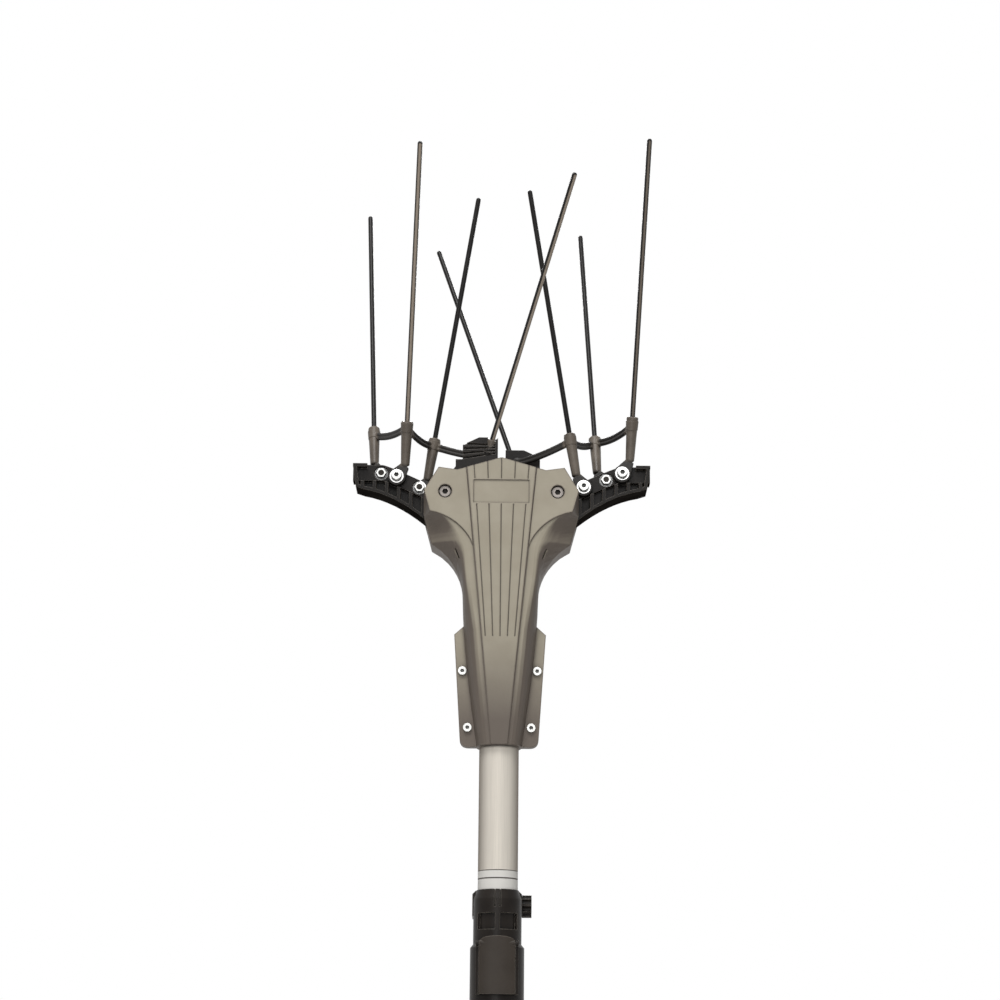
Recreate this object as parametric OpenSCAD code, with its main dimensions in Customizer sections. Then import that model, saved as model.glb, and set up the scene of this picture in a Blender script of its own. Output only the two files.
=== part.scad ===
// Electric olive harvester head: two tine rakes on a split gear casing, carried by a
// tube that slides in a pole clamp. Z runs up the pole, the front faces -Y, and the
// origin is the centre of the clamp's lower mouth. All lengths are millimetres.

/* [Part] */
// Piece to draw, or all of them

/* [Pole clamp] */
// Diameter of the pole that enters the socket
pole_diameter = 40; // [25:0.5:60]
// Radial play of the pole in the socket
pole_play = 0.1; // [0.02:0.01:0.2]
// Depth of the pole socket
socket_depth = 70; // [40:1:120]
// Whole length of the clamp
clamp_length = 153.5; // [110:0.5:220]
// Height of the taper at the clamp's top
crown_taper = 8; // [2:0.5:15]
// Wall of the clamp around pole and tube
clamp_wall = 3.5; // [2:0.1:6]
// Height at which the clamp narrows to the tube
clamp_step = 104; // [80:1:160]
// Height of the chamfer at that step
clamp_chamfer = 3; // [1:0.1:8]
// Radial play of the tube in the clamp
tube_play = 0.08; // [0.02:0.01:0.1]
// Length of the slits beside the front tongue
slit_length = 14.5; // [5:0.5:30]
// Width of the slits
slit_width = 0.9; // [0.6:0.1:3]
// Width of the tongue between the slits
tongue_width = 3.6; // [2:0.1:10]
// Height of the two front pockets
pocket_height = 14; // [5:0.5:30]
// Drop of the pockets from the top
pocket_drop = 20.5; // [8:0.5:40]
// Depth of the pockets
pocket_depth = 2.4; // [0.5:0.1:3]
// Width of the rear clamping ears
ear_reach = 21.2; // [12:0.5:30]
// Height of the rear clamping ears
ear_height = 22; // [12:0.5:40]
// Distance of the clamping bolt from the axis
bolt_offset = 26; // [20:0.5:40]
// Gap of the split between the rear ears
split_gap = 2; // [1:0.1:4]
// Diameter of the clamping bolt
bolt_diameter = 6; // [4:0.5:10]
// Diameter of the clamp knob
knob_diameter = 20; // [12:0.5:35]
// Thickness of the clamp knob
knob_thickness = 8.4; // [5:0.1:16]
// Height of the split
split_drop = 36.5; // [10:0.5:60]
// Angle from the front to a pocket, in degrees
pocket_start = 6; // [2:1:30]
// Angle that a pocket spans, in degrees
pocket_angle = 48; // [10:1:60]
// Number of grip flutes on the knob
knob_flutes = 10; // [6:1:20]

/* [Clamp lever] */
// Width of the lever
lever_width = 31; // [15:0.5:45]
// Drop of the lever's lower edge below its pin
lever_drop = 43; // [20:0.5:80]
// Height of the lever's pin
lever_pin_height = 106.5; // [90:0.5:140]
// Distance of that pin from the tube's axis
lever_pin_offset = 26; // [22:0.5:40]
// Diameter of the lever's pin
lever_pin_diameter = 3; // [2:0.5:8]
// Thickness of the lever
lever_thickness = 4; // [2:0.1:8]
// Rise of the lever's arched top above its pin
lever_arch = 6.2; // [4:0.1:12]
// Radius of the lever's curved front
lever_crown = 60; // [30:1:120]
// Thickness of the rails beside the lever
rail_thickness = 2.6; // [1:0.1:6]

/* [Upper tube] */
// Outer diameter of the tube
tube_diameter = 35; // [20:0.5:50]
// Wall of the tube
tube_wall = 1.6; // [1:0.1:4]
// Bare length of tube over the clamp
tube_bare = 125.5; // [20:0.5:400]
// Height of the tube's foot
tube_foot = 76; // [60:1:140]
// Gap between the tube's top and the motor
tube_gap = 21; // [5:0.5:40]
// Diameter of the motor's lead
lead_diameter = 7; // [4:0.5:12]
// Length of the plug at the tube's foot
plug_length = 18; // [8:0.5:40]

/* [Casing] */
// Distance between the two rake pivots
pivot_spacing = 101; // [70:0.5:160]
// Height of the pivots above the casing's end
casing_drop = 226; // [150:1:320]
// Half width of the casing's head
head_half_width = 70; // [50:0.5:110]
// Depth of the front face at the pivots, from the tube's axis
face_depth = 36; // [28:0.5:60]
// Loss of depth from the pivots to the casing's end
face_fall = 14; // [0:0.5:25]
// Wall of the covers
cover_wall = 3; // [1.5:0.1:6]
// Half width of the cheeks where the flare starts
cheek_half = 62.8; // [45:0.1:100]
// Half width of the neck where the flare ends
neck_half_width = 34; // [26:0.5:50]
// Half width of the neck at its lower end
neck_end_half = 20; // [18:0.5:35]
// Drop to the end of the flare
flare_drop = 92; // [60:1:140]
// Radius of the flare in the outline
flare_radius = 54; // [30:0.5:90]
// Radius of the hood's edge on the front face
hood_radius = 51; // [30:0.5:90]
// Distance of its centre from the middle
hood_centre_x = 71.4; // [50:0.1:100]
// Drop of its centre
hood_centre_drop = 68.6; // [40:0.1:100]
// Radius of the edge between strip and side wall
strip_radius = 45.6; // [25:0.1:90]
// Distance of its centre from the middle
strip_centre_x = 80; // [50:0.1:110]
// Drop of its centre
strip_centre_drop = 59.3; // [40:0.1:100]
// Step from the panel down to the strip
strip_step = 2.2; // [0.5:0.1:5]
// Draft of that step
strip_draft = 0.3; // [0.1:0.1:2]
// Drop of the slits in the side walls
slit_drop = 55; // [40:0.5:80]
// Half height of those slits
slit_half = 4.5; // [2:0.1:10]
// Drop of the shoulder's lower corner
shoulder_drop = 17.5; // [8:0.1:30]
// Half width of that corner
shoulder_low_half = 64; // [45:0.1:100]
// Height of the gable's peak
gable_height = 31; // [20:0.5:50]
// Height of the gable's feet
gable_foot_height = 22; // [10:0.5:40]
// Half width of the shoulder's top
corner_half = 56.5; // [45:0.5:90]
// Half width of the dip beside the gable
dip_half = 40; // [30:0.5:60]
// Depth of that dip below the gable's feet
dip_depth = 2.3; // [0:0.1:8]
// Half width of the panel at the gable's feet
panel_top_half = 31.5; // [20:0.5:45]
// Half width of the panel at the casing's end
panel_low_half = 7.6; // [4:0.1:20]
// Height of the panel above the shoulders
panel_rise = 1; // [0.4:0.1:3]
// Width of the fine grooves on the panel
groove_width = 1; // [0.3:0.1:2]
// Depth of the fine grooves on the panel
groove_depth = 0.8; // [0.2:0.1:0.9]
// Drop of the grooves' lower end
groove_drop = 131; // [60:1:180]
// Width of the bare badge recess
badge_width = 50; // [20:0.5:60]
// Height of the bare badge recess
badge_height = 21; // [8:0.5:40]
// Half depth of the side gap for the rakes
side_gap = 14.5; // [8:0.1:20]
// Drop at which the side gap closes
side_gap_drop = 28; // [20:0.5:60]
// Depth of the flat at the covers' parting edge
parting_flat = 1; // [0.5:0.1:4]
// Thickness of the rib that cradles the motor
cradle_rib = 4; // [2:0.1:8]

/* [Casing flange] */
// Thickness of one flange ear
flange_thickness = 5; // [3:0.1:10]
// Half width of the flange at its top
flange_top_half = 41; // [30:0.5:60]
// Half width of the flange at its foot
flange_low_half = 35; // [25:0.5:50]
// Height of the flange's top
flange_height = 110; // [70:1:150]
// Length of the slope at the flange's top
flange_slope = 9; // [3:0.5:20]
// Radius of the flange's lower corner
flange_corner = 8; // [2:0.5:15]
// Height of the upper flange screws
screw_upper_height = 68; // [40:1:100]
// Height of the lower flange screws
screw_lower_height = 17; // [8:1:40]
// Distance of the upper screws from the neck's side
screw_upper_out = 4.2; // [4:0.1:10]
// Distance of the lower screws from the neck's side
screw_lower_out = 5.7; // [4:0.1:10]
// Thread diameter of the flange screws
cover_screw_diameter = 4; // [3:0.5:6]

/* [Rake pivots] */
// Diameter of the pivot shafts
shaft_diameter = 12; // [8:0.5:20]
// Wall of the pivot bushes
bush_wall = 2; // [1:0.1:4]
// Radial running play of bushes and bearings
running_play = 0.05; // [0.01:0.01:0.1]
// Radius of the rake hubs
hub_radius = 13; // [9:0.5:20]
// Half length of the rake hubs
hub_half = 22.6; // [12:0.1:30]
// End play between hub and casing boss
hub_play = 0.4; // [0.2:0.1:1]
// Depth of a shaft's seat in its boss
seat_depth = 6; // [3:0.1:10]
// Radius of the casing bosses
boss_radius = 11; // [8:0.5:16]
// Wall under a pivot screw's head
seat_wall = 1.2; // [0.8:0.1:3]
// Thread diameter of the pivot screws
pivot_screw_diameter = 6; // [4:0.5:8]

/* [Rake arms] */
// Swing of the rakes to each side, in degrees
swing = 7; // [3:0.5:12]
// Half depth of the wing's channel
wing_half_depth = 13; // [8:0.5:20]
// Half depth of the wing's upper band
band_half_depth = 7; // [4:0.5:12]
// Half depth of the wing's web
web_half_depth = 2; // [1:0.1:5]
// Reach of the wing's tip from its pivot
wing_reach = 84.5; // [50:0.5:120]
// Height of the wing's top edge
wing_top = 31.3; // [15:0.1:50]
// Start of its fall, as a share of the reach
wing_flat_share = 0.686; // [0.5:0.001:0.9]
// Reach of the wing's root
wing_root_reach = 19; // [14:0.5:40]
// Height of the top edge at the root
wing_root_top = 15; // [2:0.1:25]
// Drop of the lower edge at the root
wing_root_drop = 20.3; // [15:0.1:40]
// Foot of the tip's slope, as a share of the reach
wing_low_share = 0.876; // [0.6:0.001:0.95]
// Height of the lower edge at the tip's slope
wing_low_height = 6.8; // [-10:0.1:20]
// Height of the point that bends the lower edge
wing_low_bend = 2; // [-15:0.1:10]
// Height of the tip's lower corner
wing_tip_height = 9.3; // [0:0.1:30]
// Height of the upper band
band_height = 15; // [8:0.5:25]
// Thickness of the wing's flange, tip and ribs
rib_thickness = 3; // [1.5:0.1:6]
// Number of ribs between the flanges
rib_count = 5; // [2:1:9]
// Depth of the inner arm
inner_arm_depth = 17; // [10:0.5:30]
// Gap from the middle plane to that arm
inner_arm_gap = 12; // [1:0.1:16]
// Distance from the pivot to its heel
heel_in = 9; // [0:0.1:20]
// Height of the heel's foot
heel_low = 24.6; // [15:0.1:40]
// Height of the heel's top
heel_high = 32; // [25:0.1:55]
// Distance from the pivot to its top corner
crest_in = 30; // [15:0.1:50]
// Height of the inner arm's top
crest_height = 52; // [35:0.1:80]
// Distance from the pivot to its end
inner_arm_reach = 47; // [30:0.1:70]
// Width of its flutes
flute_width = 2.4; // [1:0.1:5]
// Depth of its flutes
flute_depth = 2.5; // [0.5:0.1:6]
// Number of flutes
flute_count = 4; // [2:1:8]

/* [Tines and sleeves] */
// Diameter of the tines
tine_diameter = 4.6; // [3:0.5:10]
// Bare length of the tines
tine_bare = 252; // [120:1:400]
// Bare length of the inner tines
inner_tine_bare = 241; // [120:1:400]
// Depth of the tines in their sleeves
tine_depth = 36; // [15:0.5:60]
// Length of the wing sleeves
sleeve_length = 41; // [25:0.5:70]
// Length of the sleeve in the inner arm
cross_sleeve_length = 30; // [15:0.5:50]
// Radius of a sleeve at its top
sleeve_top_radius = 5.3; // [4:0.1:10]
// Radius of a sleeve at its base
sleeve_base_radius = 4.9; // [3.5:0.1:10]
// Chamfer at a sleeve's ends
sleeve_chamfer = 1.2; // [0.3:0.1:3]
// Radius of a sleeve's screw eye
eye_radius = 8; // [5:0.1:12]
// Thread diameter of the sleeve screws
sleeve_screw_diameter = 5; // [3:0.5:8]
// Diameter of the sleeve washers
washer_diameter = 12.6; // [8:0.1:20]
// Thickness of the sleeve washers
washer_thickness = 1.2; // [0.5:0.1:3]
// Depth of the nut recess in the band
nut_recess = 3; // [1:0.1:6]
// Lean of the outer tine to the back, in degrees
outer_pitch_angle = 17.5; // [0:0.5:35]
// Lean of the middle tine to the front
middle_pitch_angle = 21; // [0:0.5:35]
// Lean of the crossing tine to the front
cross_pitch_angle = 18; // [0:0.5:35]
// Inward lean of the outer tine
outer_lean_angle = -3; // [-15:0.5:15]
// Inward lean of the middle tine
middle_lean_angle = 2.5; // [-15:0.5:15]
// Inward lean of the inner tine
inner_lean_angle = 9; // [-15:0.5:20]
// Inward lean of the crossing tine
cross_lean_angle = 17.5; // [0:0.5:30]
// Outer sleeve's screw, as a share of the reach
outer_screw_share = 0.698; // [0.6:0.001:0.8]
// Height of the outer sleeve's screw
outer_screw_height = 23.6; // [10:0.1:40]
// Middle sleeve's screw, as a share of the reach
middle_screw_share = 0.528; // [0.45:0.001:0.6]
// Height of the middle sleeve's screw
middle_screw_height = 19.2; // [8:0.1:40]
// Inner sleeve's screw, as a share of the reach
inner_screw_share = 0.284; // [0.25:0.001:0.35]
// Height of the inner sleeve's screw
inner_screw_height = 10.6; // [4:0.1:30]
// Outer sleeve's base, as a share of the reach
outer_base_share = 0.781; // [0.7:0.001:0.85]
// Height of the outer sleeve's base
outer_base_height = 35.6; // [20:0.1:60]
// Middle sleeve's base, as a share of the reach
middle_base_share = 0.44; // [0.35:0.001:0.5]
// Height of the middle sleeve's base
middle_base_height = 29.6; // [20:0.1:50]
// Inner sleeve's base, as a share of the reach
inner_base_share = 0.207; // [0.18:0.001:0.3]
// Height of the inner sleeve's base
inner_base_height = 21; // [15:0.1:40]
// Distance of the crossing sleeve's base from the pivot
cross_base_in = 33.2; // [20:0.1:60]
// Height of the crossing sleeve's base
cross_base_height = 23.2; // [10:0.1:50]
// Depth of the crossing sleeve's base
cross_base_front = 17.2; // [2:0.1:25]
// Wall around the crossing sleeve
cross_wall = 2.8; // [1.5:0.1:6]

/* [Rubber ties] */
// Diameter of one strand of a tie
strand_diameter = 3.8; // [2:0.1:8]
// Distance between the two strands
strand_pitch = 4.4; // [3:0.1:10]
// Sag of the tie between two sleeves
tie_sag = 5; // [0:0.1:15]
// Thickness of the tie's collar on a sleeve
collar_thickness = 0.5; // [0.4:0.1:3]
// Height of the tie's collars
collar_height = 9; // [4:0.1:16]
// Distance of a collar's middle from the sleeve's top
collar_drop = 8; // [5:0.1:20]
// Radius of the peg for a tie's end
peg_radius = 3; // [2:0.1:5]
// Distance from the pivot to the peg
peg_in = 36; // [15:0.1:45]
// Height of the peg
peg_height = 39; // [20:0.1:55]

/* [Crank drive] */
// Drop of the crank below the pivots
crank_drop = 38; // [25:0.5:60]
// Radius of the crank rollers
roller_radius = 6.5; // [4:0.1:10]
// Radius of the crank pins
crank_pin_radius = 3; // [2:0.1:5]
// Radius of the crank's main shaft
main_shaft_radius = 5; // [3:0.1:8]
// Play of a roller in its fork
fork_play = 1.7; // [0.5:0.1:3]
// Thickness of a fork
fork_thickness = 6; // [3:0.1:10]
// Distance of the forks from the middle plane
fork_offset = 14; // [10:0.1:20]
// Wall of a fork's prongs
prong_wall = 5; // [3:0.1:10]
// Gear module of pinion and crown
gear_module = 0.8; // [0.5:0.1:2]
// Teeth of the pinion
pinion_teeth = 10; // [8:1:20]
// Teeth of the crown
crown_teeth = 40; // [24:1:80]
// Width of the crown's toothed ring
crown_face = 4; // [2:0.1:8]
// Thickness of the crown's disc
crown_thickness = 7; // [3:0.1:10]
// Outer radius of the crank bearings
bearing_radius = 9.5; // [7:0.1:15]
// Width of one crank bearing
bearing_width = 5; // [3:0.1:8]
// Wall around the bearings
bearing_wall = 2.5; // [1.5:0.1:5]
// Thickness of the rear crank web
web_thickness = 4; // [2:0.1:8]

/* [Motor] */
// Radius of the motor
motor_radius = 24; // [15:0.5:35]
// Length of the motor's can
motor_length = 66; // [40:0.5:100]
// Wall of the motor's can
can_wall = 2; // [1:0.1:4]
// Thickness of the magnets
magnet_thickness = 3.5; // [1:0.1:6]
// Air gap between magnets and rotor
air_gap = 1; // [0.3:0.1:2]
// Radius of the motor's shaft
motor_shaft_radius = 2.5; // [1.5:0.1:5]
// Thickness of the gear frame's plate
plate_thickness = 3.5; // [2:0.1:6]
// Gap from the pinion to plate and posts
plate_gap = 3.4; // [1:0.1:6]
// Thread radius of the gear frame's screws
frame_screw_radius = 1.5; // [1:0.1:3]

/* [Fits] */
// Gap between faces that pass each other
contact_gap = 0.3; // [0.3:0.05:0.6]
// Radial play of a screw in its hole
screw_play = 0.2; // [0.1:0.05:0.5]
// Radial gap of seated pieces
fit_gap = 0.03; // [0.01:0.01:0.1]

/* [Hidden] */
$fn = 48;
overrun = 1;
loft_steps = 7;
neck_stations = 8;
flare_stations = 8;
cheek_stations = 10;
edge_steps = 8;
strand_sides = 10;
strand_steps = 9;
neck_power = 1.5;
station_power = 1.6;
hood_weight = 3;
neck_weight = 0.8;

screw_head_share = 0.85;
button_head_share = 0.95;
button_height_share = 0.55;
pivot_head_share = 0.55;
socket_share = 0.45;
nut_share = 0.9;
nut_height_share = 0.8;
thread_share = 2;

// Clamp
pole_radius = pole_diameter / 2;
tube_radius = tube_diameter / 2;
tube_bore = tube_radius - tube_wall;
socket_radius = pole_radius + pole_play;
guide_radius = tube_radius + tube_play;
clamp_low_radius = pole_radius + clamp_wall;
clamp_top_radius = tube_radius + clamp_wall;
knob_z = clamp_length - ear_height / 2;
flute_share = 0.12;
ear_left_share = 1.04;
seat_share = 0.8;
bolt_seat = ear_reach * seat_share;
ear_left = ear_reach * ear_left_share;
ear_low = clamp_length - ear_height;
ear_back = bolt_offset + bolt_diameter;
lever_outer_share = 0.85;
lever_outer = lever_pin_offset + lever_thickness * lever_outer_share;
lever_bay_radius = norm([lever_arch, lever_thickness * lever_outer_share]) + contact_gap;
lever_half = lever_width / 2;
lever_low = lever_pin_height - lever_drop;
lever_top = lever_pin_height + lever_arch;
rail_inner = lever_half + contact_gap;
rail_outer = rail_inner + rail_thickness;
barrel_share = 0.85;
barrel_radius = lever_pin_diameter * barrel_share;

// Casing, with heights counted from the rake pivots
casing_low_z = clamp_length + tube_bare;
pivot_z = casing_low_z + casing_drop;
pivot_x = pivot_spacing / 2;
face_slope = face_fall / casing_drop;
face_tilt = atan(face_slope);
flare_centre_x = neck_half_width + flare_radius;
cheek_drop = flare_drop - sqrt(pow(flare_radius, 2) - pow(flare_centre_x - cheek_half, 2));
dip_height = gable_foot_height - dip_depth;
flange_drop = casing_drop - flange_height;
screw_upper_drop = casing_drop - screw_upper_height;
screw_lower_drop = casing_drop - screw_lower_height;
screw_upper_half = casing_half(-screw_upper_drop) + screw_upper_out;
screw_lower_half = casing_half(-screw_lower_drop) + screw_lower_out;
boss_share = 0.65;
groove_shares = [-0.78, -0.39, 0, 0.39, 0.78];
casing_levels = concat(
    [for (i = [0:neck_stations]) mix(-casing_drop, -flare_drop, i / neck_stations)],
    [for (i = [1:flare_stations]) mix(-flare_drop, -cheek_drop, i / flare_stations)],
    [for (i = [1:cheek_stations])
        mix(-shoulder_drop, -cheek_drop, pow(1 - i / cheek_stations, station_power))],
    [0, gable_height + overrun]);
head_outline = [[-head_half_width * 2, -casing_drop * 2], [head_half_width * 2, -casing_drop * 2],
    [head_half_width * 2, 0], [head_half_width, 0], [corner_half, gable_foot_height],
    [dip_half, dip_height], [panel_top_half, gable_foot_height], [0, gable_height],
    [-panel_top_half, gable_foot_height], [-dip_half, dip_height],
    [-corner_half, gable_foot_height], [-head_half_width, 0], [-head_half_width * 2, 0]];
flange_outline = concat([[0, -flange_drop], [neck_half_width - cover_wall, -flange_drop],
    [flange_top_half, -flange_drop - flange_slope]],
    bend([flange_low_half, flange_corner - casing_drop], [flange_low_half, -casing_drop],
        [flange_low_half - flange_corner, -casing_drop], edge_steps), [[0, -casing_drop]]);

// Crank drive and motor
crank_z = pivot_z - crank_drop;
crank_throw = crank_drop * tan(swing);
crank_roller_back = fork_offset + fork_thickness + contact_gap;
crown_radius = gear_module * crown_teeth / 2;
crown_pitch = 360 / crown_teeth;
crown_tooth_share = 0.18;
crown_half_angle = crown_pitch * crown_tooth_share;
pinion_radius = gear_module * pinion_teeth / 2;
pinion_pitch = 360 / pinion_teeth;
pinion_tip_share = 0.11;
pinion_root_share = 0.25;
tooth_height_share = 2;
tooth_tip_share = 0.75;
tooth_root_share = 1.1;
tooth_height = gear_module * tooth_height_share;
pinion_tip = pinion_radius + gear_module * tooth_tip_share;
pinion_root = pinion_radius - gear_module * tooth_root_share;
crown_tip_y = -(pinion_radius - gear_module * tooth_tip_share);
crown_face_y = crown_tip_y - tooth_height;
crown_back_y = crown_face_y - crown_thickness;
block_front_y = crown_tip_y + contact_gap * 2;
block_back_y = block_front_y + bearing_width * 2 + contact_gap * 2;
web_front_y = block_back_y + contact_gap;
web_back_y = web_front_y + web_thickness;
web_rim_share = 0.9;
web_radius = crank_throw + crank_pin_radius * (1 + web_rim_share);
block_radius = bearing_radius + bearing_wall;
pinion_drop = crank_drop + crown_radius;
pinion_half_share = 0.75;
pinion_half = crown_face * pinion_half_share;
plate_top_drop = pinion_drop + pinion_half + plate_gap;
motor_top_drop = plate_top_drop + plate_thickness;
motor_low_drop = motor_top_drop + motor_length;
tube_grip = casing_drop - motor_low_drop - tube_gap;
tube_length = casing_low_z + tube_grip - tube_foot;
rib_low_v = -motor_low_drop + motor_length / 2;
magnet_outer = motor_radius - can_wall;
magnet_slot_share = 0.5;
rotor_radius = magnet_outer - magnet_thickness - air_gap;
rotor_length_share = 0.85;
end_thickness = can_wall * 2;
magnet_low = end_thickness * 2;
magnet_length = motor_length - end_thickness * 4;
frame_screw_share = 0.7;
frame_screw_offset = motor_radius * frame_screw_share;

// Rake pivots and forks
shaft_radius = shaft_diameter / 2;
bush_outer = shaft_radius + running_play + bush_wall;
boss_face = hub_half + hub_play;
shaft_half = boss_face + seat_depth;
counterbore_radius = pivot_screw_diameter;
screw_seat = shaft_half + seat_wall;
fork_half = roller_radius + fork_play;
fork_left = pivot_x - fork_half - prong_wall;
fork_right = pivot_x + fork_half + prong_wall;
fork_low = crank_drop + pivot_x * sin(swing) + prong_wall;
fork_top = crank_drop - pivot_x * sin(swing) - roller_radius - contact_gap * 2;

// Sleeves and their screws
sleeve_screw_radius = sleeve_screw_diameter / 2;
washer_radius = washer_diameter / 2;
recess_radius = washer_radius + contact_gap;
eye_back = wing_half_depth;
eye_front = band_half_depth;
eye_middle = (eye_back + eye_front) / 2;
washer_far = eye_back + washer_thickness;
nut_face = nut_recess - band_half_depth - washer_thickness;
nut_far = nut_face - sleeve_screw_diameter * nut_height_share;
tine_radius = tine_diameter / 2;
cross_depth_share = 0.85;
cross_depth = cross_sleeve_length * cross_depth_share;

// Outlines of a rake, from its pivot
// Wing sleeves are listed as outer, middle, inner; side 1 is the back
sides = [1, -1, 1];
leans = [outer_lean_angle, middle_lean_angle, inner_lean_angle];
pitches = [outer_pitch_angle, -middle_pitch_angle, 0];
screws = [[-wing_reach * outer_screw_share, outer_screw_height],
    [-wing_reach * middle_screw_share, middle_screw_height],
    [-wing_reach * inner_screw_share, inner_screw_height]];
bases = [[-wing_reach * outer_base_share, outer_base_height],
    [-wing_reach * middle_base_share, middle_base_height],
    [-wing_reach * inner_base_share, inner_base_height]];
wing_flat_reach = wing_reach * wing_flat_share;
wing_low_reach = wing_reach * wing_low_share;
tip_top = [-wing_reach, wing_top];
tip_low = [rib_thickness - wing_reach, wing_tip_height];
wing_bend_share = 1.4;
low_bend_share = 0.5;
top_edge = concat([tip_top], bend([-wing_flat_reach, wing_top], [wing_bend_share * rib_thickness
    - wing_flat_reach, wing_top], [-wing_root_reach, wing_root_top], edge_steps));
low_edge = concat([tip_low], bend([-wing_low_reach, wing_low_height],
    [-mix(wing_low_reach, wing_root_reach, low_bend_share), wing_low_bend],
    [-wing_root_reach, -wing_root_drop], edge_steps));
band_edge = [for (p = top_edge) p - [0, band_height]];
channel_edge = [for (p = band_edge) p - [0, contact_gap * 4]];
flange_edge = [for (p = low_edge) p + [0, rib_thickness]];
wing_outline = concat(top_edge, [[0, hub_radius], [0, -hub_radius]],
    [for (i = [len(low_edge) - 1:-1:0]) low_edge[i]]);
rib_step = (wing_low_reach - wing_root_reach) / rib_count;
step_shares = [0.3, 0.65];
step_in = mix(heel_in, crest_in, step_shares[0]);
inner_arm_outline = [[0, hub_radius], [heel_in, heel_low], [heel_in, heel_high], [step_in, heel_high],
    [step_in, mix(heel_high, crest_height, step_shares[1])], [crest_in, crest_height],
    [inner_arm_reach, crest_height], [inner_arm_reach, heel_high],
    [mix(crest_in, inner_arm_reach, step_shares[1]), heel_low - flute_width * 2], [hub_radius, 0]];
flute_fan = 0.35;
cross_boss_share = 0.62;

// Rubber ties
collar_run = sleeve_length - collar_drop;
collar_inner = sleeve_top_radius + fit_gap;
collar_outer = collar_inner + collar_thickness;
collars = [for (i = [0:2]) along(i, collar_run)];
peg_y = contact_gap - inner_arm_gap + strand_diameter / 2;
peg_place = [peg_in, peg_y, peg_height];
ring_outer = peg_radius + strand_diameter / 2;

function mix(a, b, t) = a + (b - a) * t;

// A quadratic curve from a to c that leaves towards b
function bend(a, b, c, steps) = [for (i = [0:steps]) let (t = i / steps)
    a * (1 - t) * (1 - t) + b * 2 * t * (1 - t) + c * t * t];

// Half width of the casing at height v over the pivots
function casing_half(v) =
    v > -shoulder_drop ? head_half_width
    : v > -cheek_drop ? mix(cheek_half, head_half_width, (v + cheek_drop) / (cheek_drop - shoulder_drop))
    : v > -flare_drop ? flare_centre_x - sqrt(pow(flare_radius, 2) - pow(v + flare_drop, 2))
    : neck_half_width - (neck_half_width - neck_end_half)
        * pow((-flare_drop - v) / (casing_drop - flare_drop), neck_power);

// Half width of the raised panel
function panel_half(v) = mix(panel_low_half, panel_top_half,
    (v + casing_drop) / (gable_foot_height + casing_drop));

// Half width of the flat front face
function face_half(v) =
    v > -shoulder_drop
    ? min(head_half_width - panel_rise, mix(shoulder_low_half, head_half_width - panel_rise,
        (v + shoulder_drop) / shoulder_drop))
    : v > -hood_centre_drop
    ? max(panel_half(v), min(shoulder_low_half, hood_centre_x
        - sqrt(max(0, pow(hood_radius, 2) - pow(v + hood_centre_drop, 2)))))
    : panel_half(v);

function face_at(v) = face_depth + face_slope * v;

// Half width where the strip beside the panel turns into the side wall
function corner_half(v) = v > -shoulder_drop ? face_half(v)
    : max(face_half(v), min(casing_half(v), v > -strip_centre_drop
        ? strip_centre_x - sqrt(max(0, pow(strip_radius, 2) - pow(v + strip_centre_drop, 2)))
        : strip_centre_x - strip_radius));

// Sharpness of that turn, which softens down the neck
function corner_weight(v) = v > -hood_centre_drop ? hood_weight
    : mix(hood_weight, neck_weight, min(1, (-hood_centre_drop - v) / (flange_drop - hood_centre_drop)));

// Depth of the wall that runs straight back, beside the rakes' gap in the head
function wall_back(v) = parting_flat
    + side_gap * max(0, min(1, (v + flare_drop) / (flare_drop - cheek_drop)));

// Point at share t of a curve from a to c that turns at b
function turn(a, b, c, weight, t) = (a * pow(1 - t, 2) + b * 2 * weight * t * (1 - t) + c * t * t)
    / (pow(1 - t, 2) + 2 * weight * t * (1 - t) + t * t);

// Level of the casing's front half, taken in by inset and opened by lip
function level(v, inset, lip) = let (w = casing_half(v) - inset, f = min(w, face_half(v)) - inset,
    d = face_at(v) - inset, b = [f + strip_draft, strip_step - d],
    k = [min(w, corner_half(v) + strip_draft - inset), strip_step - d],
    side = concat([[w, lip]], [for (i = [0:loft_steps - 1])
        turn([w, min(0, inset - wall_back(v))], k, b, corner_weight(v), i / loft_steps)], [b, [f, -d]]))
    concat([[0, lip]], [for (p = side) [-p[0], p[1]]], [for (i = [len(side) - 1:-1:0]) side[i]]);

function between(low, high) = concat([low], [for (v = casing_levels) if (v > low && v < high) v], [high]);

// Solid through a list of rings of points
module skin(rings) {
    count = len(rings[0]);
    last = len(rings) - 1;
    points = [for (ring = rings) for (p = ring) p];
    foot = [for (i = [0:count - 1]) i];
    head = [for (i = [count:-1:1]) last * count + i % count];
    sides = [for (j = [0:last - 1]) for (i = [0:count - 1]) for (half = [0, 1])
        let (k = (i + 1) % count, a = j * count, b = a + count)
        half == 0 ? [a + i, b + i, b + k] : [a + i, b + k, a + k]];
    polyhedron(points, concat([foot], [head], sides));
}

module casing_loft(low, high, inset, lip)
    translate([0, 0, pivot_z])
        skin([for (v = between(low, high)) [for (p = level(v, inset, lip)) [p[0], p[1], v]]]);

// Plate in the X-Z plane between two depths
module slab(near, far)
    translate([0, far, 0])
        rotate([90, 0, 0])
            linear_extrude(far - near)
                children();

// Round bar along Y between two depths
module bar_y(radius, near, far)
    translate([0, near, 0])
        rotate([-90, 0, 0])
            cylinder(r = radius, h = far - near);

// Round bar along X between two places
module bar_x(radius, left, right)
    translate([left, 0, 0])
        rotate([0, 90, 0])
            cylinder(r = radius, h = right - left);

// Hexagon nut or head along Y
module hex_y(radius, near, far)
    translate([0, near, 0])
        rotate([-90, 0, 0])
            cylinder(r = radius, h = far - near, $fn = 6);

module at_pivots()
    for (side = [-1, 1])
        translate([side * pivot_x, 0, pivot_z])
            children();

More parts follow.
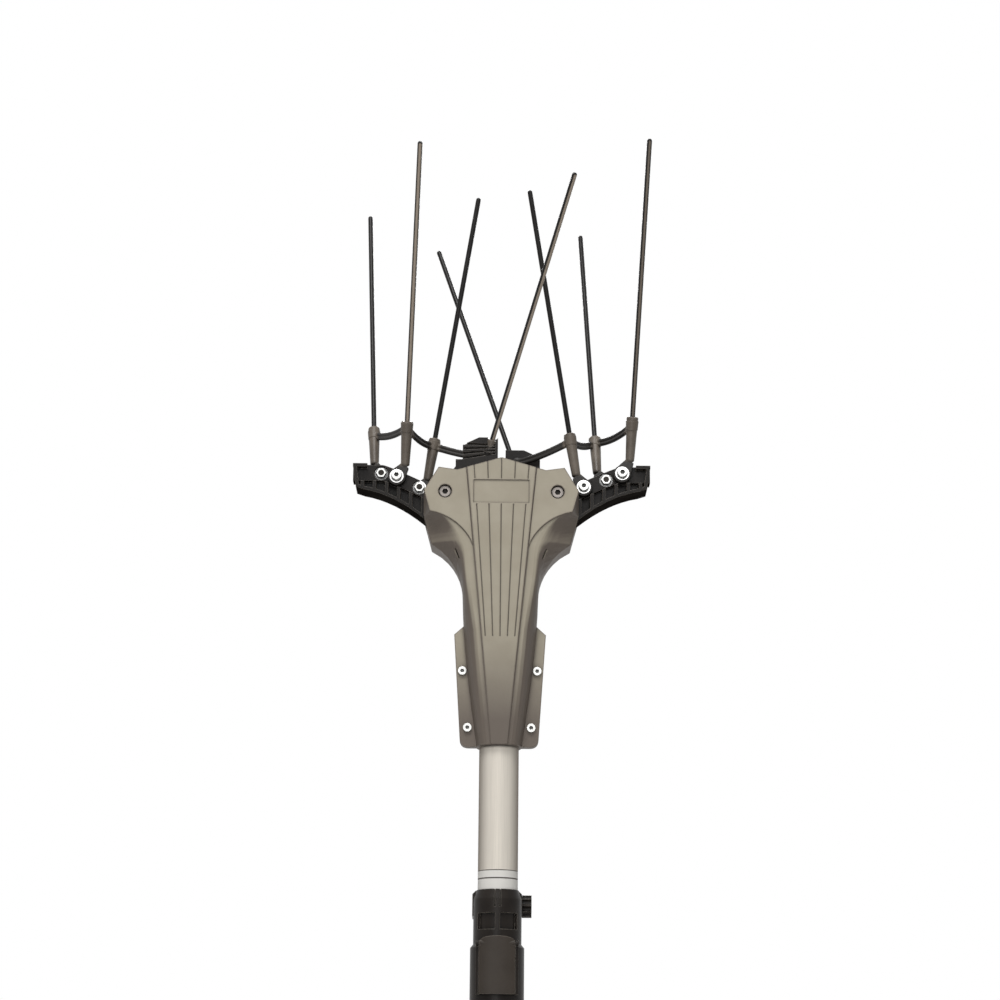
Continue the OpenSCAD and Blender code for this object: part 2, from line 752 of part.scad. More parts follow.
module at_cover_screws()
    for (side = [-1, 1]) {
        translate([side * screw_upper_half, 0, pivot_z - screw_upper_drop])
            children();
        translate([side * screw_lower_half, 0, pivot_z - screw_lower_drop])
            children();
    }

// Frame that lies on the sloping front face
module on_face()
    translate([0, -face_depth, pivot_z])
        rotate([face_tilt, 0, 0])
            children();

module both_sides()
    for (side = [0, 1])
        mirror([side, 0, 0])
            children();

// Half of the casing, with pivot bosses, tube seat, motor cradle and flange
module cover_blank()
    difference() {
        union() {
            difference() {
                union() {
                    intersection() {
                        casing_loft(-casing_drop, gable_height + overrun, 0, 0);
                        translate([0, 0, pivot_z])
                            slab(-face_depth * 2, overrun)
                                polygon(head_outline);
                    }
                    both_sides()
                        translate([0, 0, pivot_z])
                            slab(-flange_thickness, 0)
                                polygon(flange_outline);
                }
                casing_loft(rib_low_v + cradle_rib, gable_height + overrun * 2, cover_wall, overrun);
                casing_loft(-motor_low_drop, rib_low_v, cover_wall, overrun);
                translate([-head_half_width * 2, -side_gap, pivot_z - side_gap_drop])
                    cube([head_half_width * 4, side_gap + overrun, side_gap_drop + gable_height * 2]);
            }
            at_pivots()
                bar_y(boss_radius, cover_wall * boss_share - face_depth, -boss_face);
        }
        translate([0, 0, casing_low_z - overrun])
            cylinder(r = tube_radius + fit_gap, h = tube_grip + overrun);
        translate([0, 0, casing_low_z])
            cylinder(r = lead_diameter, h = casing_drop - motor_low_drop + overrun);
        translate([0, 0, pivot_z - motor_low_drop])
            cylinder(r = motor_radius + fit_gap, h = motor_length + plate_thickness);
        at_cover_screws()
            bar_y(cover_screw_diameter / 2 + screw_play, -flange_thickness - overrun, overrun);
        at_pivots() {
            bar_y(shaft_radius + fit_gap, -shaft_half, overrun);
            bar_y(pivot_screw_diameter / 2 + screw_play, -screw_seat - overrun, 0);
            bar_y(counterbore_radius, -face_depth * 2, -screw_seat);
        }
    }

// Strip down the panel between two heights, at a share of its width
function panel_strip(share, high, low) = let (half = groove_width / 2)
    [[panel_half(high) * share - half, high], [panel_half(high) * share + half, high],
    [panel_half(low) * share + half, low], [panel_half(low) * share - half, low]];

module front_cover()
    color("#a7a092")
        difference() {
            cover_blank();
            both_sides()
                translate([strip_centre_x - strip_radius + slit_half, 0, pivot_z - slit_drop])
                    slab(-face_depth, -side_gap / 2)
                        polygon([[slit_half / 2, slit_half], [slit_half / 2 - slit_width, slit_half],
                            [-slit_half / 2, -slit_half], [slit_width - slit_half / 2, -slit_half]]);
            on_face() {
                both_sides() {
                    slab(-face_depth, panel_rise)
                        polygon([[panel_half(gable_height * 2), gable_height * 2],
                            [head_half_width * 2, gable_height * 2],
                            [head_half_width * 2, -casing_drop * 2],
                            [panel_half(-casing_drop * 2), -casing_drop * 2]]);
                    slab(-face_depth, panel_rise + groove_depth)
                        polygon(panel_strip(1, gable_height * 2, -casing_drop * 2));
                }
                for (share = groove_shares) {
                    slab(-overrun, groove_depth)
                        polygon(panel_strip(share, gable_height + overrun, badge_height / 2 + panel_rise));
                    slab(-overrun, groove_depth)
                        polygon(panel_strip(share, -badge_height / 2 - panel_rise, -groove_drop));
                }
                slab(-overrun, groove_depth)
                    translate([-badge_width / 2, -badge_height / 2])
                        square([badge_width, badge_height]);
            }
        }

module rear_cover()
    color("#a7a092")
        rotate([0, 0, 180])
            cover_blank();

module cover_screws()
    color("#d8d8d6")
        at_cover_screws() {
            difference() {
                bar_y(cover_screw_diameter * button_head_share,
                    -flange_thickness - cover_screw_diameter * button_height_share, -flange_thickness);
                hex_y(cover_screw_diameter * socket_share, -flange_thickness * 2,
                    -flange_thickness - groove_depth);
            }
            bar_y(cover_screw_diameter / 2, -flange_thickness - groove_depth,
                flange_thickness + cover_screw_diameter);
        }

module cover_nuts()
    color("#d8d8d6")
        at_cover_screws()
            difference() {
                hex_y(cover_screw_diameter * nut_share, flange_thickness,
                    flange_thickness + cover_screw_diameter * nut_height_share);
                bar_y(cover_screw_diameter / 2 + fit_gap, 0, flange_thickness * 2);
            }

module pivot_screw()
    difference() {
        union() {
            bar_y(pivot_screw_diameter * screw_head_share,
                -screw_seat - pivot_screw_diameter * pivot_head_share, -screw_seat);
            bar_y(pivot_screw_diameter / 2, -screw_seat, pivot_screw_diameter * thread_share - screw_seat);
        }
        hex_y(pivot_screw_diameter * socket_share, -face_depth,
            contact_gap * 3 - screw_seat - pivot_screw_diameter * pivot_head_share * socket_share);
    }

module pivot_screws()
    color("#b9b9b6")
        at_pivots()
            for (turn = [0, 180])
                rotate([0, 0, turn])
                    pivot_screw();

module pivot_shaft(side)
    color("#c4c6c8")
        translate([side * pivot_x, 0, pivot_z])
            difference() {
                bar_y(shaft_radius, -shaft_half, shaft_half);
                for (turn = [0, 180])
                    rotate([0, 0, turn])
                        bar_y(pivot_screw_diameter / 2 + fit_gap, -shaft_half - overrun,
                            pivot_screw_diameter * thread_share + contact_gap - shaft_half);
            }

module left_pivot_shaft() pivot_shaft(-1);
module right_pivot_shaft() pivot_shaft(1);

// Plate on the motor, with posts for the crank's bearings
module gear_frame()
    color("#8d9196")
        difference() {
            union() {
                translate([0, 0, pivot_z - motor_top_drop])
                    cylinder(r = motor_radius, h = plate_thickness);
                translate([0, 0, crank_z])
                    bar_y(block_radius, block_front_y, block_back_y);
                both_sides()
                    translate([pinion_tip + plate_gap, block_front_y, pivot_z - plate_top_drop - contact_gap])
                        cube([block_radius - pinion_tip - plate_gap, block_back_y - block_front_y,
                            plate_top_drop - crank_drop + contact_gap]);
            }
            translate([0, 0, crank_z])
                bar_y(bearing_radius + fit_gap, block_front_y - overrun, block_back_y + overrun);
            translate([0, 0, pivot_z - motor_top_drop - overrun])
                cylinder(r = pinion_tip + contact_gap, h = plate_thickness + overrun * 2);
            for (side = [-1, 1])
                translate([0, side * frame_screw_offset, pivot_z - motor_top_drop - overrun])
                    cylinder(r = frame_screw_radius + screw_play, h = plate_thickness + overrun * 2);
        }

module frame_screws()
    color("#5a5c5e")
        for (side = [-1, 1])
            translate([0, side * frame_screw_offset, pivot_z - motor_top_drop]) {
                translate([0, 0, -can_wall])
                    cylinder(r = frame_screw_radius, h = plate_thickness + can_wall);
                translate([0, 0, plate_thickness])
                    cylinder(r = frame_screw_radius * 2, h = frame_screw_radius);
            }

module crank_bearing(near)
    color("#c9ccce")
        translate([0, 0, crank_z])
            difference() {
                bar_y(bearing_radius, near, near + bearing_width);
                bar_y(main_shaft_radius + running_play, near - overrun, near + bearing_width + overrun);
            }

module front_crank_bearing() crank_bearing(block_front_y);
module rear_crank_bearing() crank_bearing(block_back_y - bearing_width);

// Crown gear with the crank's main shaft and its front pin
module crown_crank()
    color("#7f8285")
        translate([0, 0, crank_z]) {
            bar_y(crown_radius + crown_face / 2, crown_back_y, crown_face_y);
            slab(crown_face_y - contact_gap, crown_tip_y)
                for (i = [0:crown_teeth - 1])
                    rotate(crown_pitch * i)
                        polygon([for (q = [[-1, -1], [1, -1], [1, 1], [-1, 1]])
                            (crown_radius + q[1] * crown_face / 2 - contact_gap)
                            * [sin(crown_half_angle * q[0]), -cos(crown_half_angle * q[0])]]);
            bar_y(main_shaft_radius, crown_face_y - contact_gap, web_back_y);
            translate([0, 0, crank_throw])
                bar_y(crank_pin_radius, -crank_roller_back, crown_back_y + contact_gap);
        }

module rear_crank_web()
    color("#7f8285")
        translate([0, 0, crank_z])
            difference() {
                union() {
                    bar_y(web_radius, web_front_y, web_back_y);
                    translate([0, 0, -crank_throw])
                        bar_y(crank_pin_radius, web_back_y - contact_gap, crank_roller_back);
                }
                bar_y(main_shaft_radius + fit_gap, web_front_y - overrun, web_back_y + overrun);
            }

module roller(near, far)
    color("#d0d2d4")
        difference() {
            bar_y(roller_radius, near, far);
            bar_y(crank_pin_radius + fit_gap, near - overrun, far + overrun);
        }

module front_roller()
    translate([0, 0, crank_z + crank_throw])
        roller(-fork_offset - fork_thickness, crown_back_y - contact_gap);

module rear_roller()
    translate([0, 0, crank_z - crank_throw])
        roller(web_back_y + contact_gap, fork_offset + fork_thickness);

module motor_can()
    color("#3f4347")
        translate([0, 0, pivot_z - motor_low_drop])
            difference() {
                cylinder(r = motor_radius, h = motor_length);
                translate([0, 0, -overrun])
                    cylinder(r = magnet_outer, h = motor_length - end_thickness + overrun);
                cylinder(r = motor_shaft_radius + running_play, h = motor_length + overrun);
                for (side = [-1, 1])
                    translate([0, side * frame_screw_offset, motor_length - can_wall - contact_gap])
                        cylinder(r = frame_screw_radius + fit_gap, h = end_thickness);
            }

module motor_magnets()
    color("#2c2d30")
        translate([0, 0, pivot_z - motor_low_drop + magnet_low])
            difference() {
                cylinder(r = magnet_outer - fit_gap, h = magnet_length);
                translate([0, 0, -overrun])
                    cylinder(r = magnet_outer - magnet_thickness, h = magnet_length + overrun * 2);
                translate([-motor_radius, -magnet_thickness * magnet_slot_share, -overrun])
                    cube([motor_radius * 2, magnet_thickness, magnet_length + overrun * 2]);
            }

module motor_end_bell()
    color("#1f2022")
        translate([0, 0, pivot_z - motor_low_drop])
            difference() {
                cylinder(r = magnet_outer - fit_gap, h = end_thickness);
                translate([0, 0, can_wall])
                    cylinder(r = motor_shaft_radius + running_play, h = end_thickness);
            }

module motor_rotor()
    color("#a86f3c")
        translate([0, 0, pivot_z - motor_low_drop]) {
            translate([0, 0, can_wall + contact_gap])
                cylinder(r = motor_shaft_radius, h = motor_low_drop - pinion_drop + pinion_half
                    - can_wall - contact_gap);
            translate([0, 0, magnet_low + magnet_length * (1 - rotor_length_share) / 2])
                cylinder(r = rotor_radius, h = magnet_length * rotor_length_share);
        }

module motor_pinion()
    color("#9a9da0")
        translate([0, 0, pivot_z - pinion_drop - pinion_half])
            difference() {
                linear_extrude(pinion_half * 2)
                    polygon([for (i = [0:pinion_teeth - 1]) for (q = [[-1, 0], [-1, 1], [1, 1], [1, 0]])
                        let (a = pinion_pitch * (i + 1 / 2) - 90 + pinion_pitch * q[0]
                            * (q[1] == 1 ? pinion_tip_share : pinion_root_share),
                            r = q[1] == 1 ? pinion_tip : pinion_root)
                        r * [cos(a), sin(a)]]);
                translate([0, 0, -overrun])
                    cylinder(r = motor_shaft_radius + fit_gap, h = pinion_half * 2 + overrun * 2);
            }

module motor_lead()
    color("#161617")
        translate([0, 0, tube_foot])
            cylinder(r = lead_diameter / 2, h = pivot_z - motor_low_drop - tube_foot);

module upper_tube()
    color("#c9cbcd")
        translate([0, 0, tube_foot])
            difference() {
                cylinder(r = tube_radius, h = tube_length);
                translate([0, 0, -overrun])
                    cylinder(r = tube_bore, h = tube_length + overrun * 2);
            }

module tube_plug()
    color("#2a2b2d")
        translate([0, 0, tube_foot])
            difference() {
                cylinder(r = tube_bore - fit_gap, h = plug_length);
                translate([0, 0, -overrun])
                    cylinder(r = lead_diameter / 2 + fit_gap, h = plug_length + overrun * 2);
            }

// Places a left rake on its pivot, or turned half round as the right one
module rake(turn)
    rotate([0, 0, turn])
        translate([-pivot_x, 0, pivot_z])
            children();

// Aims Z along a line that leans towards +X and +Y
module aim(place, lean, pitch)
    translate(place)
        rotate([0, acos(1 / norm([tan(lean), tan(pitch), 1])), atan2(tan(pitch), tan(lean))])
            children();

module on_sleeve(i)
    aim([bases[i][0], sides[i] * eye_middle, bases[i][1]], leans[i], pitches[i])
        children();

module on_cross_sleeve()
    aim([cross_base_in, -cross_base_front, cross_base_height], cross_lean_angle, -cross_pitch_angle)
        children();

// Screw axis of a wing sleeve, with its head on the sleeve's side
module at_screw(i)
    translate([screws[i][0], 0, screws[i][1]])
        rotate([0, 0, sides[i] > 0 ? 0 : 180])
            children();

module at_sleeve_screws()
    for (i = [0:2])
        at_screw(i)
            children();

function strip(upper, lower) = concat(upper, [for (i = [len(lower) - 1:-1:0]) lower[i]]);

module wing() {
    slab(-web_half_depth, web_half_depth)
        polygon(wing_outline);
    slab(-band_half_depth, band_half_depth)
        polygon(strip(top_edge, band_edge));
    slab(-wing_half_depth, wing_half_depth)
        polygon(strip(flange_edge, low_edge));
    slab(-wing_half_depth, wing_half_depth)
        polygon([tip_top, tip_top + [rib_thickness, 0], tip_low + [rib_thickness, 0], tip_low]);
    slab(-wing_half_depth, wing_half_depth)
        polygon([tip_top, tip_top + [wing_half_depth, 0], tip_top + [wing_half_depth, -rib_thickness],
            tip_top - [0, rib_thickness]]);
    intersection() {
        slab(-wing_half_depth, wing_half_depth)
            polygon(strip(channel_edge, low_edge));
        for (i = [0:rib_count])
            translate([-wing_root_reach - rib_step * i - rib_thickness, -wing_half_depth * 2, -wing_reach])
                cube([rib_thickness, wing_half_depth * 4, wing_reach * 2]);
    }
    slab(-wing_half_depth, wing_half_depth)
        polygon([[-wing_root_reach, wing_root_top - band_height + rib_thickness], [0, hub_radius],
            [0, -hub_radius], [-wing_root_reach, -wing_root_drop]]);
}

// Flute i on the inner arm's front, fanning out to its heel
function flute(i) = let (t = (i + 1) / (flute_count + 1), half = flute_width / 2,
    heel = mix(heel_low, crest_height, t), end = mix(heel_high, crest_height, mix(t, flute_fan, flute_fan)))
    [[0, heel - half], [0, heel + half], [inner_arm_reach - half * 2, end + half / 2],
    [inner_arm_reach - half * 2, end - half / 2]];

module inner_arm() {
    difference() {
        slab(-inner_arm_gap - inner_arm_depth, -inner_arm_gap)
            polygon(inner_arm_outline);
        for (i = [0:flute_count - 1])
            slab(-inner_arm_gap - inner_arm_depth - overrun, flute_depth - inner_arm_gap - inner_arm_depth)
                polygon(flute(i));
        bar_y(boss_radius + hub_play, -face_depth, -hub_half);
    }
    translate([peg_in, 0, peg_height])
        bar_y(peg_radius, -inner_arm_gap - overrun, peg_y + strand_diameter / 2 + contact_gap);
    on_cross_sleeve()
        translate([0, 0, -cross_wall])
            cylinder(r = sleeve_base_radius + cross_wall,
                h = cross_sleeve_length * cross_boss_share + cross_wall);
}

module drive_lever()
    slab(-fork_offset - fork_thickness, -fork_offset)
        difference() {
            union() {
                polygon([[0, -hub_radius], [fork_left + prong_wall, -fork_low],
                    [fork_left + prong_wall, prong_wall - fork_top], [0, hub_radius]]);
                translate([fork_left, -fork_low])
                    square([fork_right - fork_left, fork_low - fork_top + prong_wall]);
            }
            translate([pivot_x - fork_half, -fork_low - overrun])
                square([fork_half * 2, fork_low - fork_top + overrun]);
        }

// Hub, ribbed wing, inner arm with the crossing sleeve's seat, and drive fork
module rake_arm()
    color("#1e1e20")
        difference() {
            union() {
                bar_y(hub_radius, -hub_half, hub_half);
                wing();
                inner_arm();
                drive_lever();
            }
            bar_y(bush_outer + fit_gap, -hub_half - overrun, hub_half + overrun);
            at_sleeve_screws() {
                bar_y(sleeve_screw_radius + screw_play, -wing_half_depth * 2, wing_half_depth * 2);
                bar_y(recess_radius, -wing_half_depth * 2, nut_recess - band_half_depth);
            }
            on_cross_sleeve()
                cylinder(r = sleeve_base_radius + fit_gap, h = cross_sleeve_length * 2);
        }

module left_arm() rake(0) rake_arm();
module right_arm() rake(180) rake_arm();

module bush()
    color("#b08a4a")
        difference() {
            bar_y(bush_outer, -hub_half, hub_half);
            bar_y(shaft_radius + running_play, -hub_half - overrun, hub_half + overrun);
        }

module left_bush() rake(0) bush();
module right_bush() rake(180) bush();

module sleeve_body(base_radius, top_radius, length, depth)
    difference() {
        rotate_extrude()
            polygon([[0, 0], [base_radius - sleeve_chamfer, 0], [base_radius, sleeve_chamfer],
                [top_radius, length - sleeve_chamfer], [top_radius - sleeve_chamfer, length], [0, length]]);
        translate([0, 0, length - depth])
            cylinder(r = tine_radius + fit_gap, h = depth + overrun);
    }

// Screw eye with the foot that carries a wing sleeve
module sleeve_eye(i) {
    step = bases[i] - screws[i];
    across = [-step[1], step[0]] / norm(step);
    near = sides[i] > 0 ? eye_front : -eye_back;
    difference() {
        slab(near, near + eye_back - eye_front)
            union() {
                translate(screws[i])
                    circle(r = eye_radius);
                polygon([screws[i] + across * eye_radius, screws[i] - across * eye_radius,
                    bases[i] - across * sleeve_base_radius, bases[i] + across * sleeve_base_radius]);
            }
        at_screw(i)
            bar_y(sleeve_screw_radius + screw_play, 0, eye_back * 2);
    }
}

module wing_sleeve(i)
    color("#4a4744") {
        on_sleeve(i)
            sleeve_body(sleeve_base_radius, sleeve_top_radius, sleeve_length, tine_depth);
        sleeve_eye(i);
    }

module cross_sleeve()
    color("#4a4744")
        on_cross_sleeve()
            sleeve_body(sleeve_base_radius, sleeve_base_radius, cross_sleeve_length, cross_depth);

module left_outer_sleeve() rake(0) wing_sleeve(0);
module left_middle_sleeve() rake(0) wing_sleeve(1);
module left_inner_sleeve() rake(0) wing_sleeve(2);
module left_cross_sleeve() rake(0) cross_sleeve();
module right_outer_sleeve() rake(180) wing_sleeve(0);
module right_middle_sleeve() rake(180) wing_sleeve(1);
module right_inner_sleeve() rake(180) wing_sleeve(2);
module right_cross_sleeve() rake(180) cross_sleeve();

// Tine with a round tip, seated in a sleeve
module tine(length, depth, bare)
    color("#26272a")
        translate([0, 0, length - depth]) {
            cylinder(r = tine_radius, h = depth + bare - tine_radius);
            translate([0, 0, depth + bare - tine_radius])
                sphere(r = tine_radius);
        }

module wing_tine(i) on_sleeve(i) tine(sleeve_length, tine_depth, i < 2 ? tine_bare : inner_tine_bare);
module cross_tine() on_cross_sleeve() tine(cross_sleeve_length, cross_depth, tine_bare);
module left_outer_tine() rake(0) wing_tine(0);
module left_middle_tine() rake(0) wing_tine(1);
module left_inner_tine() rake(0) wing_tine(2);
module left_cross_tine() rake(0) cross_tine();
module right_outer_tine() rake(180) wing_tine(0);
module right_middle_tine() rake(180) wing_tine(1);
module right_inner_tine() rake(180) wing_tine(2);
module right_cross_tine() rake(180) cross_tine();

// Point on a wing sleeve's axis
function along(i, run) = let (d = [tan(leans[i]), tan(pitches[i]), 1])
    [bases[i][0], sides[i] * eye_middle, bases[i][1]] + d / norm(d) * run;

function unit(v) = v / norm(v);

// Ring of points around a place, square to its heading
function hoop(place, heading) = let (t = unit(heading), a = unit(cross(t, [0, 0, 1])), b = cross(t, a))
    [for (i = [0:strand_sides - 1]) place + strand_diameter / 2
        * (a * cos(360 * i / strand_sides) + b * sin(360 * i / strand_sides))];

// Sagging strand between two places
module strand(from, to, lift) {
    top = [0, 0, lift];
    run = bend(from + top, (from + to) / 2 + top - [0, 0, tie_sag * 2], to + top, strand_steps);
    last = len(run) - 1;
    skin([for (i = [0:last]) hoop(run[i], run[min(last, i + 1)] - run[max(0, i - 1)])]);
}

module strands(from, to, from_radius, to_radius) {
    way = unit(to - from);
    for (side = [-1, 1])
        strand(from + way * from_radius, to - way * to_radius, side * strand_pitch / 2);
}

module collar()
    translate([0, 0, collar_run - collar_height / 2])
        difference() {
            cylinder(r = collar_outer, h = collar_height);
            translate([0, 0, -overrun])
                cylinder(r = collar_inner, h = collar_height + overrun * 2);
        }

// Rubber tie: collars on the wing sleeves, double strands, and a ring on a peg
module tie()
    color("#1b1b1c") {
        for (i = [0:2])
            on_sleeve(i)
                collar();
        translate([peg_in, 0, peg_height])
            difference() {
                bar_y(ring_outer, contact_gap - inner_arm_gap, strand_diameter - inner_arm_gap);
                bar_y(peg_radius + fit_gap, -inner_arm_gap - overrun, strand_diameter);
            }
        difference() {
            union() {
                for (i = [0, 1])
                    strands(collars[i], collars[i + 1], collar_inner, collar_inner);
                strands(collars[2], peg_place, collar_inner, ring_outer - contact_gap);
            }
            for (i = [0:2])
                on_sleeve(i)
                    cylinder(r = collar_inner, h = sleeve_length);
        }
    }

module left_tie() rake(0) tie();
module right_tie() rake(180) tie();

module sleeve_screws()
    color("#dcdcda")
        at_sleeve_screws()
            difference() {
                union() {
                    bar_y(sleeve_screw_radius, nut_far - contact_gap, washer_far + contact_gap);
                    bar_y(sleeve_screw_diameter * screw_head_share, washer_far,
                        washer_far + sleeve_screw_diameter);
                }
                hex_y(sleeve_screw_diameter * socket_share, washer_far + sleeve_screw_diameter / 2,
                    washer_far + sleeve_screw_diameter * 2);
            }

module sleeve_washers()
    color("#ececea")
        at_sleeve_screws() {
            difference() {
                bar_y(washer_radius, eye_back, washer_far);
                bar_y(sleeve_screw_radius + fit_gap, 0, washer_far + overrun);
            }
            difference() {
                bar_y(washer_radius, nut_face, nut_recess - band_half_depth);
                bar_y(sleeve_screw_radius + fit_gap, nut_face - overrun, 0);
            }
        }

module sleeve_nuts()
    color("#dcdcda")
        at_sleeve_screws()
            difference() {
                hex_y(sleeve_screw_diameter * nut_share, nut_far, nut_face);
                bar_y(sleeve_screw_radius + fit_gap, nut_far - overrun, 0);
            }

module left_screws() rake(0) sleeve_screws();
module left_washers() rake(0) sleeve_washers();
module left_nuts() rake(0) sleeve_nuts();
module right_screws() rake(180) sleeve_screws();
module right_washers() rake(180) sleeve_washers();
module right_nuts() rake(180) sleeve_nuts();

module at_lever_pin()
    translate([0, -lever_pin_offset, lever_pin_height])
        children();

module at_bolt()
    translate([0, bolt_offset, knob_z])
        children();

// Pole socket below, split tube collar above, lever rails in front
module clamp_body()
    color("#2b2b2d")
        difference() {
            union() {
                cylinder(r = clamp_low_radius, h = clamp_step);
                translate([0, 0, clamp_step])
                    cylinder(r1 = clamp_low_radius, r2 = clamp_top_radius, h = clamp_chamfer);
                cylinder(r = clamp_top_radius, h = clamp_length - crown_taper);
                translate([0, 0, clamp_length - crown_taper])
                    cylinder(r1 = clamp_top_radius, r2 = guide_radius + contact_gap * 3, h = crown_taper);
                slab(0, ear_back)
                    polygon([[-ear_left, ear_low], [ear_reach, ear_low],
                        [ear_reach, clamp_length - clamp_chamfer],
                        [ear_reach - clamp_chamfer, clamp_length], [clamp_chamfer - ear_left, clamp_length],
                        [-ear_left, clamp_length - clamp_chamfer]]);
                both_sides() {
                    intersection() {
                        translate([0, 0, lever_low])
                            cylinder(r = lever_outer, h = lever_drop + barrel_radius);
                        translate([rail_inner, -lever_outer, 0])
                            cube([rail_thickness, lever_outer, clamp_length]);
                    }
                    at_lever_pin() {
                        bar_x(barrel_radius, rail_inner, rail_outer);
                        translate([rail_inner, 0, -barrel_radius])
                            cube([rail_thickness, lever_pin_offset, barrel_radius * 2]);
                    }
                }
            }
            translate([0, 0, -overrun])
                cylinder(r = socket_radius, h = socket_depth + overrun);
            cylinder(r = guide_radius, h = clamp_length + overrun);
            both_sides() {
                translate([tongue_width / 2, -clamp_top_radius - overrun, clamp_length - slit_length])
                    cube([slit_width, clamp_top_radius, slit_length + overrun]);
                translate([(tongue_width + slit_width) / 2, 0, clamp_length - slit_length])
                    bar_y(slit_width, -clamp_top_radius - overrun, -guide_radius / 2);
                rotate(pocket_start - 90)
                    translate([0, 0, clamp_length - pocket_drop - pocket_height])
                        rotate_extrude(angle = pocket_angle)
                            translate([clamp_top_radius - pocket_depth, 0])
                                square([pocket_depth + overrun, pocket_height]);
            }
            translate([-split_gap / 2, 0, clamp_length - split_drop])
                cube([split_gap, ear_back + overrun, split_drop + overrun]);
            at_lever_pin() {
                bar_x(lever_bay_radius, -rail_inner, rail_inner);
                bar_x(lever_pin_diameter / 2 + fit_gap, -rail_outer - overrun, rail_outer + overrun);
            }
            at_bolt() {
                bar_x(bolt_diameter / 2 + screw_play, -ear_reach * 2, ear_reach * 2);
                rotate([0, 0, 90])
                    hex_y(bolt_diameter * nut_share + contact_gap, bolt_seat, ear_reach * 2);
            }
        }

module clamp_bolt()
    color("#b9b9b6")
        at_bolt() {
            bar_x(bolt_diameter / 2, -bolt_seat, ear_reach + knob_thickness);
            rotate([0, 0, 90])
                hex_y(bolt_diameter * nut_share, bolt_seat, bolt_seat + bolt_diameter * nut_height_share);
        }

module clamp_knob()
    color("#2b2b2d")
        at_bolt()
            difference() {
                bar_x(knob_diameter / 2, ear_reach + contact_gap, ear_reach + contact_gap + knob_thickness);
                bar_x(bolt_diameter / 2 + running_play, ear_reach, ear_reach + knob_thickness * 2);
                for (i = [0:knob_flutes - 1])
                    rotate([360 * i / knob_flutes, 0, 0])
                        translate([0, 0, knob_diameter / 2])
                            bar_x(knob_diameter * flute_share, ear_reach - overrun,
                                ear_reach + knob_thickness * 2);
            }

// Curved lever with an arched top that turns on a barrel
module clamp_lever()
    color("#2b2b2d")
        difference() {
            union() {
                intersection() {
                    translate([0, lever_crown - lever_outer, lever_low])
                        difference() {
                            cylinder(r = lever_crown, h = lever_drop + lever_arch);
                            translate([0, 0, -overrun])
                                cylinder(r = lever_crown - lever_thickness, h = lever_drop * 2);
                        }
                    slab(-lever_outer - overrun, 0)
                        both_sides()
                            polygon(concat([[0, lever_low], [lever_half, lever_low]],
                                bend([lever_half, lever_pin_height], [lever_half, lever_top],
                                    [0, lever_top], edge_steps)));
                }
                at_lever_pin()
                    bar_x(barrel_radius, contact_gap - lever_half, lever_half - contact_gap);
            }
            at_lever_pin()
                bar_x(lever_pin_diameter / 2 + running_play, -lever_width, lever_width);
        }

module lever_pin()
    color("#b9b9b6")
        at_lever_pin()
            bar_x(lever_pin_diameter / 2, -rail_outer, rail_outer);

front_cover();
rear_cover();
cover_screws();
cover_nuts();
pivot_screws();
left_pivot_shaft();
right_pivot_shaft();
gear_frame();
frame_screws();
front_crank_bearing();
rear_crank_bearing();
crown_crank();
rear_crank_web();
front_roller();
rear_roller();
motor_can();
motor_magnets();
motor_end_bell();
motor_rotor();
motor_pinion();
motor_lead();
upper_tube();
tube_plug();
left_arm();
left_bush();
left_outer_sleeve();
left_middle_sleeve();
left_inner_sleeve();
left_cross_sleeve();
left_outer_tine();
left_middle_tine();
left_inner_tine();
left_cross_tine();
left_tie();
left_screws();
left_washers();
left_nuts();
right_arm();
right_bush();
right_outer_sleeve();
right_middle_sleeve();
right_inner_sleeve();
right_cross_sleeve();
right_outer_tine();
right_middle_tine();
right_inner_tine();
right_cross_tine();
right_tie();
right_screws();
right_washers();
right_nuts();
clamp_body();
clamp_bolt();
clamp_knob();
clamp_lever();
lever_pin();
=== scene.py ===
import math

import bmesh
import bpy
from mathutils import Matrix, Vector


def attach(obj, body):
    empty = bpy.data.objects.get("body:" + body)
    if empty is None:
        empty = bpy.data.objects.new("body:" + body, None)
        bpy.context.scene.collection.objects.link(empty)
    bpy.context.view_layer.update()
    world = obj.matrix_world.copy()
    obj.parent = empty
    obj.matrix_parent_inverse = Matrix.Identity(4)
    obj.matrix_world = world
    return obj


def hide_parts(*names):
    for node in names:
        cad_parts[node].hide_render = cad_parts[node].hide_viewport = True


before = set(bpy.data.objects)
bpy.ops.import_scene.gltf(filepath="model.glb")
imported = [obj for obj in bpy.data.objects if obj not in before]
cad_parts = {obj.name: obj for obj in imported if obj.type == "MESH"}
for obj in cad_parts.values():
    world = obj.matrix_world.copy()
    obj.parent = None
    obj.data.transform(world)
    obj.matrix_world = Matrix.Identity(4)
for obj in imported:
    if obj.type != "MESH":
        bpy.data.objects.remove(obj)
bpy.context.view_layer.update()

# Viewpoint: the head is seen from below, as it is when the pole is held up into a tree.
# A long lens stands two metres in front of the casing, tipped up and rolled by half a degree.
lens_place = (-0.0012, -2.1096, -0.0590)
lens_tilt = math.radians(105)
lens_roll = math.radians(0.54)
camera_data = bpy.data.cameras.new("camera")
camera_data.lens = 86.4
camera_data.sensor_width = 36
camera_data.clip_end = 20
camera = bpy.data.objects.new("camera", camera_data)
camera.matrix_world = (Matrix.Translation(lens_place)
                       @ Matrix.Rotation(lens_tilt, 4, "X") @ Matrix.Rotation(lens_roll, 4, "Z"))
bpy.context.scene.collection.objects.link(camera)
bpy.context.scene.camera = camera


